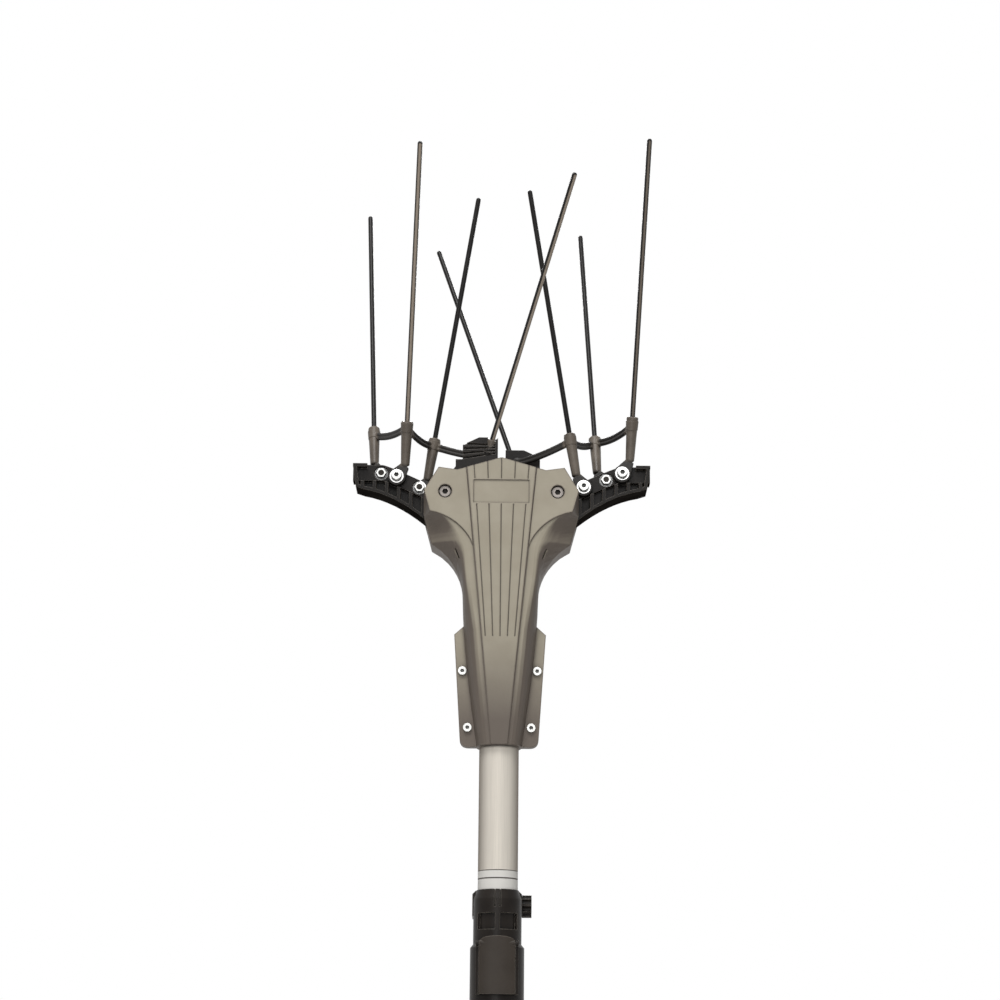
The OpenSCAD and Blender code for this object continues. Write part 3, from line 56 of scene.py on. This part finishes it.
# Pole clamp: black glass-filled plastic, moulded in one piece with its rear ears and lever rails.
# A knob on a bolt closes it. Its skin is satin with a fine grain, with painted shade in the
# corners, and paler edges that are partly rubbed wear and partly a painted highlight.
def new_node(tree, kind, values=(), **settings):
    """Add a shader node with its settings and the values of its inputs."""
    node = tree.nodes.new("ShaderNode" + kind)
    for setting, value in settings.items():
        setattr(node, setting, value)
    for socket, value in dict(values).items():
        node.inputs[socket].default_value = value
    return node


def new_material(name):
    """Add a material with nodes, and give it with its tree and its shader."""
    material = bpy.data.materials.new(name)
    material.use_nodes = True
    return material, material.node_tree, material.node_tree.nodes["Principled BSDF"]


def opaque(colour, share=1):
    """A share of a colour, with full alpha."""
    return (*[part * share for part in colour], 1)


def two_tones(tree, share, start, dark, end, pale):
    """Colour that runs from dark to pale as a share goes from start to end."""
    tint = new_node(tree, "ValToRGB")
    for stop, position, colour in zip(tint.color_ramp.elements, (start, end), (dark, pale)):
        stop.position = position
        stop.color = colour
    tree.links.new(share, tint.inputs["Fac"])
    return tint.outputs["Color"]


def dark_corners(tree, tone, shade_colour, reach, shut, clear):
    """Painted shade: darken a tone to a shade colour where walls stand close around a point."""
    corners = new_node(tree, "AmbientOcclusion", {"Distance": reach}, samples=8)
    clear_share = new_node(tree, "MapRange", {"From Min": shut, "From Max": clear})
    shaded = new_node(tree, "Mix", data_type="RGBA")
    shaded.inputs["A"].default_value = shade_colour
    tree.links.new(corners.outputs["AO"], clear_share.inputs["Value"])
    tree.links.new(clear_share.outputs["Result"], shaded.inputs["Factor"])
    tree.links.new(tone, shaded.inputs["B"])
    return shaded.outputs["Result"]


def uneven_gloss(tree, share, smooth, rough):
    """Roughness that runs from smooth to rough with a share."""
    gloss = new_node(tree, "MapRange", {"To Min": smooth, "To Max": rough})
    tree.links.new(share, gloss.inputs["Value"])
    tree.links.new(gloss.outputs["Result"], tree.nodes["Principled BSDF"].inputs["Roughness"])


def eased_grain(tree, height, strength, distance, edge):
    """Bump from a height, over edges that look rounded by a radius; gives the rounded normal."""
    rounded = new_node(tree, "Bevel", {"Radius": edge}, samples=6)
    bump = new_node(tree, "Bump", {"Strength": strength, "Distance": distance})
    tree.links.new(height, bump.inputs["Height"])
    tree.links.new(rounded.outputs["Normal"], bump.inputs["Normal"])
    tree.links.new(bump.outputs["Normal"], tree.nodes["Principled BSDF"].inputs["Normal"])
    return rounded.outputs["Normal"]


def moulded(name, colour, pale, *, roughness, specular, grain, depth, edge=0.0004, wear_and_highlight=0.35,
            reach=0.004, root=None, wear_and_highlight_colour=None):
    """A moulded plastic or rubber: mottled colour, painted shade in corners, edges paler with wear
    and a painted highlight, and a fine grain.
    The root colour, where there is one, shows where the stem attribute is 0."""
    wear_and_highlight_gain, wear_and_highlight_lift = 1.6, 0.008
    wear_and_highlight_colour = wear_and_highlight_colour or [min(1, part * wear_and_highlight_gain + wear_and_highlight_lift) for part in pale]
    material, tree, shader = new_material(name)
    shader.inputs["Specular IOR Level"].default_value = specular
    place = new_node(tree, "TexCoord")
    clouds = new_node(tree, "TexNoise", {"Scale": 45, "Detail": 5})
    grains = new_node(tree, "TexNoise", {"Scale": grain, "Detail": 3})
    tree.links.new(place.outputs["Object"], clouds.inputs["Vector"])
    tree.links.new(place.outputs["Object"], grains.inputs["Vector"])
    tone = two_tones(tree, clouds.outputs["Fac"], start=0.36, dark=opaque(colour),
                     end=0.68, pale=opaque(pale))
    if root:
        stem = new_node(tree, "Attribute", attribute_name="stem")
        grown = new_node(tree, "Mix", data_type="RGBA")
        grown.inputs["A"].default_value = opaque(root)
        tree.links.new(stem.outputs["Fac"], grown.inputs["Factor"])
        tree.links.new(tone, grown.inputs["B"])
        tone = grown.outputs["Result"]
    tone = dark_corners(tree, tone, opaque(colour, share=0.2), reach, shut=0.42, clear=0.92)
    uneven_gloss(tree, clouds.outputs["Fac"], smooth=roughness - 0.07, rough=roughness + 0.09)
    rounded = eased_grain(tree, grains.outputs["Fac"], strength=depth, distance=0.0002, edge=edge)
    # Painted highlight and wear: at edges, where the rounded normal turns from the true normal, the
    # colour is paled.
    surface = new_node(tree, "NewGeometry")
    turn = new_node(tree, "VectorMath", operation="DOT_PRODUCT")
    wear_and_highlight_share = new_node(tree, "MapRange", {"From Min": 0.985, "From Max": 0.75, "To Max": wear_and_highlight})
    worn_and_highlit = new_node(tree, "Mix", data_type="RGBA")
    worn_and_highlit.inputs["B"].default_value = opaque(wear_and_highlight_colour)
    tree.links.new(rounded, turn.inputs[0])
    tree.links.new(surface.outputs["True Normal"], turn.inputs[1])
    tree.links.new(turn.outputs["Value"], wear_and_highlight_share.inputs["Value"])
    tree.links.new(wear_and_highlight_share.outputs["Result"], worn_and_highlit.inputs["Factor"])
    tree.links.new(tone, worn_and_highlit.inputs["A"])
    tree.links.new(worn_and_highlit.outputs["Result"], shader.inputs["Base Color"])
    return material


def paint(material, *names):
    """Give CAD nodes one material."""
    for name in names:
        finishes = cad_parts[name].data.materials
        finishes.clear()
        finishes.append(material)


clamp_black = moulded("clamp_black", (0.011, 0.0085, 0.007), (0.021, 0.017, 0.014),
                      roughness=0.36, specular=0.12, grain=1400, depth=0.25,
                      edge=0.0009, wear_and_highlight=0.9, wear_and_highlight_colour=(0.20, 0.175, 0.15))
paint(clamp_black, "clamp_body", "clamp_knob")

# Clamp lever: the same plastic with a smoother, browner pad that the hand presses.
# It turns on a steel pin between the clamp's rails.
# Its paler edges are partly wear and partly a painted highlight.
lever_satin = moulded("lever_satin", (0.031, 0.024, 0.018), (0.044, 0.035, 0.028),
                      roughness=0.42, specular=0.16, grain=1800, depth=0.2,
                      edge=0.0011, wear_and_highlight=0.8, wear_and_highlight_colour=(0.24, 0.21, 0.18))
paint(lever_satin, "clamp_lever")


# Upper tube: drawn aluminium, satin anodised, with fine lines along its length.
# A plain off-white band with two thin dark lines is printed around it, just over the clamp.
def drawn_metal(name, colour, *, roughness, along, reach=0.003):
    """Metal with fine lines along one axis and painted shade in its corners."""
    material, tree, shader = new_material(name)
    shader.inputs["Metallic"].default_value = 1
    place = new_node(tree, "TexCoord")
    line_scales = [25 if axis == along else 2200 for axis in "XYZ"]
    stretch = new_node(tree, "Mapping", {"Scale": line_scales})
    lines = new_node(tree, "TexNoise", {"Scale": 1, "Detail": 4})
    tree.links.new(place.outputs["Object"], stretch.inputs["Vector"])
    tree.links.new(stretch.outputs["Vector"], lines.inputs["Vector"])
    tone = two_tones(tree, lines.outputs["Fac"], start=0.3, dark=opaque(colour, share=0.88),
                     end=0.7, pale=opaque(colour))
    tone = dark_corners(tree, tone, opaque(colour, share=0.06), reach, shut=0.6, clear=0.95)
    uneven_gloss(tree, lines.outputs["Fac"], smooth=roughness - 0.05, rough=roughness + 0.07)
    eased_grain(tree, lines.outputs["Fac"], strength=0.15, distance=0.0001, edge=0.0003)
    tree.links.new(tone, shader.inputs["Base Color"])
    return material


def facing_share(material, axis, least, most, ease=0.0005):
    """Socket from 0 to 1 as a wall turns to an axis of its own piece; Y counts both ways."""
    tree = material.node_tree
    eased = new_node(tree, "Bevel", {"Radius": ease}, samples=8)
    own_way = new_node(tree, "VectorTransform", vector_type="NORMAL",
                       convert_from="WORLD", convert_to="OBJECT")
    parts = new_node(tree, "SeparateXYZ")
    share = new_node(tree, "MapRange", {"From Min": least, "From Max": most})
    tree.links.new(eased.outputs["Normal"], own_way.inputs["Vector"])
    tree.links.new(own_way.outputs["Vector"], parts.inputs["Vector"])
    tree.links.new(parts.outputs[axis], share.inputs["Value"])
    if axis == "Y":
        both_ways = new_node(tree, "Math", operation="ABSOLUTE")
        tree.links.new(parts.outputs[axis], both_ways.inputs[0])
        tree.links.new(both_ways.outputs["Value"], share.inputs["Value"])
    return share.outputs["Result"]


def place_along(material, axis):
    """Socket of a point's place along an axis of its own piece, in metres."""
    tree = material.node_tree
    place = new_node(tree, "TexCoord")
    parts = new_node(tree, "SeparateXYZ")
    tree.links.new(place.outputs["Object"], parts.inputs["Vector"])
    return parts.outputs[axis]


def overlay(material, share, colour):
    """Lay a colour over the base colour where the share is 0."""
    tree = material.node_tree
    base = tree.nodes["Principled BSDF"].inputs["Base Color"]
    laid = new_node(tree, "Mix", data_type="RGBA")
    laid.inputs["A"].default_value = opaque(colour)
    tree.links.new(share, laid.inputs["Factor"])
    tree.links.new(base.links[0].from_socket, laid.inputs["B"])
    tree.links.new(laid.outputs["Result"], base)


tube_satin = drawn_metal("tube_satin", (0.70, 0.65, 0.575), roughness=0.55, along="Z")
# Painted shade: the tube's sides, turned away from front and back, get a darker colour laid over
# them.
overlay(tube_satin, facing_share(tube_satin, "Y", least=0.25, most=0.85), (0.25, 0.215, 0.18))
tube_tree = tube_satin.node_tree
tube_shader = tube_tree.nodes["Principled BSDF"]
tube_shader.inputs["Specular IOR Level"].default_value = 0.15
tube_base = tube_shader.inputs["Base Color"]
band_run = new_node(tube_tree, "MapRange", {"From Min": 0.10, "From Max": 0.20})
band_print = new_node(tube_tree, "ValToRGB")
band_print.color_ramp.interpolation = "CONSTANT"
bare, band_white, band_line = (0, 0, 0, 0), (0.74, 0.72, 0.68, 1), (0.10, 0.09, 0.08, 1)
# Where each colour of the band starts, and where the band ends, as shares of the run
band_stops = ((0.53, band_white), (0.625, band_line), (0.633, band_white), (0.692, band_line))
band_end = 0.70
band_print.color_ramp.elements[0].color = bare
band_print.color_ramp.elements[1].color = bare
band_print.color_ramp.elements[1].position = band_end
for stop, colour in band_stops:
    band_print.color_ramp.elements.new(stop).color = colour
printed = new_node(tube_tree, "Mix", data_type="RGBA")
metal_share = new_node(tube_tree, "MapRange", {"To Min": 0.2, "To Max": 0})
tube_tree.links.new(place_along(tube_satin, "Z"), band_run.inputs["Value"])
tube_tree.links.new(band_run.outputs["Result"], band_print.inputs["Fac"])
tube_tree.links.new(band_print.outputs["Alpha"], printed.inputs["Factor"])
tube_tree.links.new(tube_base.links[0].from_socket, printed.inputs["A"])
tube_tree.links.new(band_print.outputs["Color"], printed.inputs["B"])
tube_tree.links.new(printed.outputs["Result"], tube_base)
tube_tree.links.new(band_print.outputs["Alpha"], metal_share.inputs["Value"])
tube_tree.links.new(metal_share.outputs["Result"], tube_shader.inputs["Metallic"])
paint(tube_satin, "upper_tube")

# Casing: two halves of taupe moulded plastic, satin and slightly grained, screwed together.
# The front half carries a raised panel with fine grooves and a bare recess for a badge.
# Painted shade makes the side walls and the foot browner and darker than the fronts.
casing_taupe = moulded("casing_taupe", (0.345, 0.308, 0.240), (0.380, 0.342, 0.270),
                       roughness=0.50, specular=0.22, grain=900, depth=0.18,
                       edge=0.0005, wear_and_highlight=0.25, reach=0.005)
casing_tree = casing_taupe.node_tree
# Painted shade: walls turned away from front and back, and the casing lower down, get a browner
# colour laid over them.
unshaded_by_height = new_node(casing_tree, "MapRange", {"From Min": 0.30, "From Max": 0.375, "To Min": 0.02})
unshaded_share = new_node(casing_tree, "Math", operation="MULTIPLY")
casing_tree.links.new(place_along(casing_taupe, "Z"), unshaded_by_height.inputs["Value"])
casing_tree.links.new(facing_share(casing_taupe, "Y", least=0.80, most=0.955, ease=0.003),
                      unshaded_share.inputs[0])
casing_tree.links.new(unshaded_by_height.outputs["Result"], unshaded_share.inputs[1])
overlay(casing_taupe, unshaded_share.outputs["Value"], (0.138, 0.115, 0.096))
paint(casing_taupe, "front_cover", "rear_cover")

# Casing screws and pivot screws: zinc-plated steel with hexagon sockets.
# The pivot screws sit deep in their counterbores; their darker colour and wider painted shade stand
# in for the shade there.
# The bolt and the pin of the clamp are of the same dark steel.
screw_zinc = drawn_metal("screw_zinc", (0.52, 0.52, 0.50), roughness=0.30, along="Y", reach=0.004)
paint(screw_zinc, "cover_screws", "cover_nuts")
pivot_steel = drawn_metal("pivot_steel", (0.22, 0.20, 0.185), roughness=0.36, along="Y",
                          reach=0.006)
paint(pivot_steel, "pivot_screws", "clamp_bolt", "lever_pin")

# Works inside the casing: ground steel shafts and crank, bronze bushes, a wound motor and its lead.
# They are closed in by the covers and show only when these are taken off.
ground_steel = drawn_metal("ground_steel", (0.55, 0.56, 0.57), roughness=0.30, along="Y")
paint(ground_steel, "left_pivot_shaft", "right_pivot_shaft", "gear_frame", "front_crank_bearing",
      "rear_crank_bearing", "crown_crank", "rear_crank_web", "front_roller", "rear_roller",
      "motor_pinion")
bush_bronze = drawn_metal("bush_bronze", (0.60, 0.42, 0.20), roughness=0.36, along="Y")
paint(bush_bronze, "left_bush", "right_bush")
winding_copper = drawn_metal("winding_copper", (0.70, 0.36, 0.18), roughness=0.38, along="Z")
paint(winding_copper, "motor_rotor")
motor_black = moulded("motor_black", (0.020, 0.020, 0.022), (0.032, 0.032, 0.034),
                      roughness=0.40, specular=0.3, grain=1200, depth=0.2)
paint(motor_black, "frame_screws", "motor_can", "motor_magnets", "motor_end_bell", "motor_lead",
      "tube_plug")

# Rake arms: black glass-filled plastic, moulded with ribs, a hub and a drive fork in one piece.
# Each turns on a bush around its pivot shaft, between the two halves of the casing.
# Their edges are paler with wear and a painted highlight, and their undersides are matt.
rake_specular = 0.12
rake_black = moulded("rake_black", (0.010, 0.0085, 0.0075), (0.019, 0.0165, 0.0145),
                     roughness=0.34, specular=rake_specular, grain=1300, depth=0.3,
                     edge=0.0008, wear_and_highlight=0.9, wear_and_highlight_colour=(0.20, 0.175, 0.15))
rake_tree = rake_black.node_tree
rake_sheen = new_node(rake_tree, "Math", {1: rake_specular}, operation="MULTIPLY")
rake_tree.links.new(facing_share(rake_black, "Z", least=-0.5, most=-0.1), rake_sheen.inputs[0])
rake_tree.links.new(rake_sheen.outputs["Value"],
                    rake_tree.nodes["Principled BSDF"].inputs["Specular IOR Level"])
paint(rake_black, "left_arm", "right_arm")

# Tine sleeves: dark grey-brown rubber, moulded around the foot of each tine.
# A black lug at the foot of each wing sleeve is held to the rake by one screw.
sleeve_rubber = moulded("sleeve_rubber", (0.094, 0.077, 0.061), (0.160, 0.135, 0.109),
                        roughness=0.42, specular=0.30, grain=1100, depth=0.3,
                        reach=0.003, root=(0.014, 0.012, 0.010))
millimetre = Matrix.Scale(0.001, 4)
pivot_aside, pivot_height = 0.0505, 0.505
rake_places = {"left": Matrix.Translation((-pivot_aside, 0, pivot_height)) @ millimetre,
               "right": (Matrix.Translation((pivot_aside, 0, pivot_height))
                         @ Matrix.Rotation(math.pi, 4, "Z") @ millimetre)}
# Foot of each sleeve on its rake, its lean and pitch in degrees, its length, and its screw
sleeve_rows = {"outer": ((-66.0, 10, 35.6), -3, 17.5, 41, (-59.0, 10, 23.6)),
               "middle": ((-37.2, -10, 29.6), 2.5, -21, 41, (-44.6, -10, 19.2)),
               "inner": ((-17.5, 10, 21.0), 9, 0, 41, (-24.0, 10, 10.6)),
               "cross": ((33.2, -17.2, 23.2), 17.5, -18, 30, None)}


def sleeve_axis(row):
    """Frame at the foot of a sleeve, with Z up along it."""
    base, lean, pitch, _, _ = sleeve_rows[row]
    way = Vector((math.tan(math.radians(lean)), math.tan(math.radians(pitch)), 1))
    return Matrix.Translation(base) @ way.to_track_quat("Z", "Y").to_matrix().to_4x4()


def sleeve_shape(row):
    """A round sleeve with an eased foot and mouth, and the lug that its screw holds."""
    base, _, _, length, screw = sleeve_rows[row]
    foot, mouth = (4.0, 5.4) if screw else (4.3, 4.9)
    end_inset, ease_inset, ease_rise, foot_ease, mouth_ease = 1.0, 0.3, 0.4, 1.3, 1.2
    eye_radius, lug_depth = 8, 6
    shape = bmesh.new()
    outline = [(0, 0), (foot - end_inset, 0), (foot - ease_inset, ease_rise), (foot, foot_ease),
               (mouth, length - mouth_ease), (mouth - ease_inset, length - ease_rise),
               (mouth - end_inset, length), (0, length)]
    points = [shape.verts.new((radius, 0, up)) for radius, up in outline]
    sides = [shape.edges.new(pair) for pair in zip(points, points[1:])]
    bmesh.ops.spin(shape, geom=points + sides, cent=(0, 0, 0), axis=(0, 0, 1), dvec=(0, 0, 0),
                   angle=math.tau, steps=32, use_merge=True, use_duplicate=False)
    bmesh.ops.remove_doubles(shape, verts=shape.verts, dist=0.001)
    bmesh.ops.transform(shape, matrix=sleeve_axis(row), verts=shape.verts)
    if screw:
        base, screw, through = Vector(base), Vector(screw), Vector((0, 1, 0))
        bmesh.ops.create_cone(shape, cap_ends=True, segments=40, radius1=eye_radius,
                              radius2=eye_radius, depth=lug_depth,
                              matrix=(Matrix.Translation(screw)
                                      @ Matrix.Rotation(math.pi / 2, 4, "X")))
        step = base - screw
        along = step.normalized()
        turn = Matrix((along, through, along.cross(through))).transposed().to_4x4()
        web_place = Matrix.Translation((base + screw) / 2) @ turn
        web_size = Matrix.Diagonal((step.length, lug_depth, 2 * eye_radius, 1))
        web = bmesh.ops.create_cube(shape, size=1, matrix=web_place @ web_size)
        near_sleeve = [vert for vert in web["verts"]
                       if (vert.co - screw).dot(along) > step.length / 2]
        bmesh.ops.scale(shape, vec=(1, 1, foot / eye_radius), space=web_place.inverted(),
                        verts=near_sleeve)
    return shape


def soft_skin(name, shape, voxel, rounds, rows, near, far):
    """Melt the shells of a shape into one skin and ease its corners, as in a rubber moulding.
    The stem attribute fades from 1 to 0 between two distances from the given sleeves' axes."""
    stem_start, stem_rise = -1, 4
    bmesh.ops.recalc_face_normals(shape, faces=shape.faces)
    core_mesh = bpy.data.meshes.new(name + "_core")
    shape.to_mesh(core_mesh)
    shape.free()
    core = bpy.data.objects.new(name + "_core", core_mesh)
    bpy.context.scene.collection.objects.link(core)
    melt = core.modifiers.new("melt", "REMESH")
    melt.mode = "VOXEL"
    melt.voxel_size = voxel
    skin = bmesh.new()
    skin.from_object(core, bpy.context.evaluated_depsgraph_get())
    bpy.data.objects.remove(core)
    bpy.data.meshes.remove(core_mesh)
    for _ in range(rounds):
        bmesh.ops.smooth_vert(skin, verts=skin.verts, factor=0.5,
                              use_axis_x=True, use_axis_y=True, use_axis_z=True)
    for face in skin.faces:
        face.smooth = True
    stem = skin.verts.layers.float.new("stem")
    axes = [sleeve_axis(row).inverted() for row in rows]
    for vert in skin.verts:
        shares = []
        for axis in axes:
            spot = axis @ vert.co
            shares.append(min((far - spot.xy.length) / (far - near),
                              (spot.z - stem_start) / stem_rise))
        vert[stem] = min(1, max(0, *shares))
    return skin


def rubber_piece(name, skin, material, side, node):
    """Put a finished rubber piece on its rake, in place of its plain solid."""
    bmesh.ops.transform(skin, matrix=rake_places[side], verts=skin.verts)
    mesh = bpy.data.meshes.new(name)
    skin.to_mesh(mesh)
    skin.free()
    mesh.materials.append(material)
    piece = bpy.data.objects.new(name, mesh)
    bpy.context.scene.collection.objects.link(piece)
    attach(piece, side + "_rake")
    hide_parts(node)


for side in rake_places:
    for row in sleeve_rows:
        sleeve_skin = soft_skin(row, sleeve_shape(row), voxel=0.4, rounds=3, rows=[row],
                                near=5.6, far=6.8)
        rubber_piece(f"{side}_{row}_rubber", sleeve_skin, sleeve_rubber, side,
                     node=f"{side}_{row}_sleeve")

# Tines: long round rods of black glass-filled plastic with domed tips, pressed into the sleeves.
# They are satin, with a painted highlight: a paler, browner streak along the walls that face down.
tine_black = moulded("tine_black", (0.007, 0.006, 0.0055), (0.011, 0.010, 0.009),
                     roughness=0.30, specular=0.14, grain=1600, depth=0.02)
# Painted highlight: a pale brown streak where the tines' walls face down.
overlay(tine_black, facing_share(tine_black, "Z", least=-0.36, most=-0.25), (0.30, 0.25, 0.20))
paint(tine_black, *[f"{side}_{row}_tine" for side in rake_places for row in sleeve_rows])

# Sleeve screws: zinc-plated socket screws on wide bright washers, with nuts in pockets of the rake.
# Their heads are bright, and their threads are painted dark where they end in the nuts, as painted
# shade in a hole.
head_zinc = drawn_metal("head_zinc", (0.52, 0.52, 0.50), roughness=0.30, along="Y", reach=0.004)
head_tree = head_zinc.node_tree
# Painted shade: the shank near the rake's middle plane is dark, so that its end in each nut reads
# as a shaded hole.
head_start = 0.0125
off_middle = new_node(head_tree, "Math", operation="ABSOLUTE")
is_head = new_node(head_tree, "Math", {1: head_start}, operation="GREATER_THAN")
head_tree.links.new(place_along(head_zinc, "Y"), off_middle.inputs[0])
head_tree.links.new(off_middle.outputs["Value"], is_head.inputs[0])
overlay(head_zinc, is_head.outputs["Value"], (0.02, 0.018, 0.016))
bright_zinc = drawn_metal("bright_zinc", (0.74, 0.74, 0.73), roughness=0.26, along="Y")
for side in rake_places:
    paint(head_zinc, f"{side}_screws")
    paint(screw_zinc, f"{side}_nuts")
    paint(bright_zinc, f"{side}_washers")

# Rubber ties: soft dark cord with collars moulded around the tops of a rake's three wing sleeves.
# A pair of strands runs from sleeve to sleeve and ends in a ring on the inner arm's peg.
tie_rubber = moulded("tie_rubber", (0.094, 0.077, 0.061), (0.160, 0.135, 0.109),
                     roughness=0.42, specular=0.28, grain=1200, depth=0.25,
                     reach=0.003, root=(0.017, 0.015, 0.013))
# Height of each collar's middle along its sleeve, and how far each run of strands sags
tie_rows = {"outer": 33, "middle": 35.5, "inner": 34}
tie_sags = (4, 4, 1.8)
peg_place = Vector((36, -9.8, 39))
collar_foot, collar_mouth, collar_height = 5.4, 5.85, 9
ring_radius, ring_width = 4.9, 3.8
strand_radius, strand_lift = 1.85, 1.7
strand_flare, flare_power = 0.9, 6


def tie_strand(shape, start, end, lift, sag, stops=18):
    """One cord between two places, sagging, and flared where it is moulded on."""
    middle = (start + end) / 2 - Vector((0, 0, 2 * sag))
    rings = []
    for stop in range(stops + 1):
        share = stop / stops
        near_end = abs(2 * share - 1)
        place = start * (1 - share) ** 2 + middle * 2 * share * (1 - share) + end * share ** 2
        heading = (middle - start) * (1 - share) + (end - middle) * share
        stand = (Matrix.Translation(place + Vector((0, 0, lift)))
                 @ heading.to_track_quat("Z", "Y").to_matrix().to_4x4())
        radius = strand_radius + strand_flare * near_end ** flare_power
        ring = bmesh.ops.create_circle(shape, cap_ends=stop in (0, stops), segments=14,
                                       radius=radius, matrix=stand)
        rings.append({edge for vert in ring["verts"] for edge in vert.link_edges})
    for near, far in zip(rings, rings[1:]):
        bmesh.ops.bridge_loops(shape, edges=[*near, *far])


def tie_shape():
    """Three collars, the ring on the peg, and the pairs of strands between them."""
    shape = bmesh.new()
    stops = []
    for row, run in tie_rows.items():
        axis = sleeve_axis(row)
        stops.append(axis @ Vector((0, 0, run)))
        bmesh.ops.create_cone(shape, cap_ends=True, segments=36, radius1=collar_foot,
                              radius2=collar_mouth, depth=collar_height,
                              matrix=axis @ Matrix.Translation((0, 0, run)))
    bmesh.ops.create_cone(shape, cap_ends=True, segments=32, radius1=ring_radius,
                          radius2=ring_radius, depth=ring_width,
                          matrix=(Matrix.Translation(peg_place)
                                  @ Matrix.Rotation(math.pi / 2, 4, "X")))
    stops.append(peg_place)
    for start, end, sag in zip(stops, stops[1:], tie_sags):
        for lift in (-strand_lift, strand_lift):
            tie_strand(shape, start, end, lift, sag)
    return shape


for side in rake_places:
    tie_skin = soft_skin("tie", tie_shape(), voxel=0.4, rounds=4, rows=tie_rows, near=6.1, far=8.6)
    rubber_piece(f"{side}_rubber_tie", tie_skin, tie_rubber, side,
                 node=f"{side}_tie")


# Studio: a pale floor under the head that fades into a white surround, and large soft lamps.
# The key lamp hangs high in front, so that walls that face down or aside fall into shade.
def shown_share(tree):
    """Socket that is 1 for what shows directly, through glass or in a mirror, and else 0."""
    rays = new_node(tree, "LightPath")
    seen = new_node(tree, "Math", operation="MAXIMUM")
    mirrored = new_node(tree, "Math", operation="MAXIMUM")
    tree.links.new(rays.outputs["Is Camera Ray"], seen.inputs[0])
    tree.links.new(rays.outputs["Is Transmission Ray"], seen.inputs[1])
    tree.links.new(seen.outputs["Value"], mirrored.inputs[0])
    tree.links.new(rays.outputs["Is Glossy Ray"], mirrored.inputs[1])
    return mirrored.outputs["Value"]


floor_reach, floor_height = 30, -0.5
floor_mesh = bpy.data.meshes.new("floor")
floor_shape = bmesh.new()
bmesh.ops.create_grid(floor_shape, x_segments=1, y_segments=1, size=floor_reach,
                      matrix=Matrix.Translation((0, 0, floor_height)))
floor_shape.to_mesh(floor_mesh)
floor_shape.free()
floor = bpy.data.objects.new("floor", floor_mesh)
bpy.context.scene.collection.objects.link(floor)
floor_pale, floor_tree, floor_shader = new_material("floor_pale")
floor_shader.inputs["Base Color"].default_value = (0.82, 0.82, 0.81, 1)
floor_shader.inputs["Roughness"].default_value = 0.9
floor_shader.inputs["Specular IOR Level"].default_value = 0
floor_place = new_node(floor_tree, "TexCoord")
floor_distance = new_node(floor_tree, "VectorMath", operation="LENGTH")
floor_fade = new_node(floor_tree, "MapRange", {"From Min": 0.8, "From Max": 3, "To Min": 0.85},
                      interpolation_type="SMOOTHSTEP")
floor_share = new_node(floor_tree, "Math", operation="MULTIPLY")
floor_white = new_node(floor_tree, "Emission", {"Strength": 1})
floor_mix = new_node(floor_tree, "MixShader")
floor_tree.links.new(shown_share(floor_tree), floor_share.inputs[0])
floor_tree.links.new(floor_place.outputs["Object"], floor_distance.inputs[0])
floor_tree.links.new(floor_distance.outputs["Value"], floor_fade.inputs["Value"])
floor_tree.links.new(floor_fade.outputs["Result"], floor_share.inputs[1])
floor_tree.links.new(floor_share.outputs["Value"], floor_mix.inputs["Fac"])
floor_tree.links.new(floor_shader.outputs["BSDF"], floor_mix.inputs[1])
floor_tree.links.new(floor_white.outputs["Emission"], floor_mix.inputs[2])
floor_tree.links.new(floor_mix.outputs["Shader"],
                     floor_tree.nodes["Material Output"].inputs["Surface"])
floor_mesh.materials.append(floor_pale)

world = bpy.data.worlds.new("surround")
bpy.context.scene.world = world
world.use_nodes = True
sky = world.node_tree
sky.nodes.clear()
fill = new_node(sky, "Background", {"Color": (0.97, 0.98, 1, 1), "Strength": 0.12})
white = new_node(sky, "Background", {"Color": (1, 1, 1, 1), "Strength": 1})
pick = new_node(sky, "MixShader")
out = new_node(sky, "OutputWorld")
sky.links.new(shown_share(sky), pick.inputs["Fac"])
sky.links.new(fill.outputs["Background"], pick.inputs[1])
sky.links.new(white.outputs["Background"], pick.inputs[2])
sky.links.new(pick.outputs["Shader"], out.inputs["Surface"])


def soft_lamp(name, place, aim, size, power, wash, shine):
    """A square lamp that lights matt walls by wash and polished ones by shine."""
    data = bpy.data.lights.new(name, "AREA")
    data.size = size
    data.energy = power
    data.diffuse_factor = wash
    data.specular_factor = shine
    lamp = bpy.data.objects.new(name, data)
    lamp.location = place
    lamp.rotation_euler = (Vector(aim) - Vector(place)).to_track_quat("-Z", "Y").to_euler()
    lamp.visible_camera = False
    bpy.context.scene.collection.objects.link(lamp)


soft_lamp("key", place=(-0.25, -1.15, 2.2), aim=(0, 0, 0.45), size=0.9, power=36, wash=1, shine=0)
soft_lamp("front", place=(0.15, -2.4, 1.25), aim=(0, 0, 0.5), size=0.8, power=8, wash=1, shine=0.25)
soft_lamp("low", place=(-0.15, -1.4, 0.1), aim=(0, 0, 0.65), size=0.55, power=4, wash=0.02,
          shine=1.5)
soft_lamp("back", place=(0.1, 2.0, 1.9), aim=(0, 0, 0.45), size=1.0, power=40, wash=1, shine=0)

bpy.context.scene.view_settings.view_transform = "Standard"
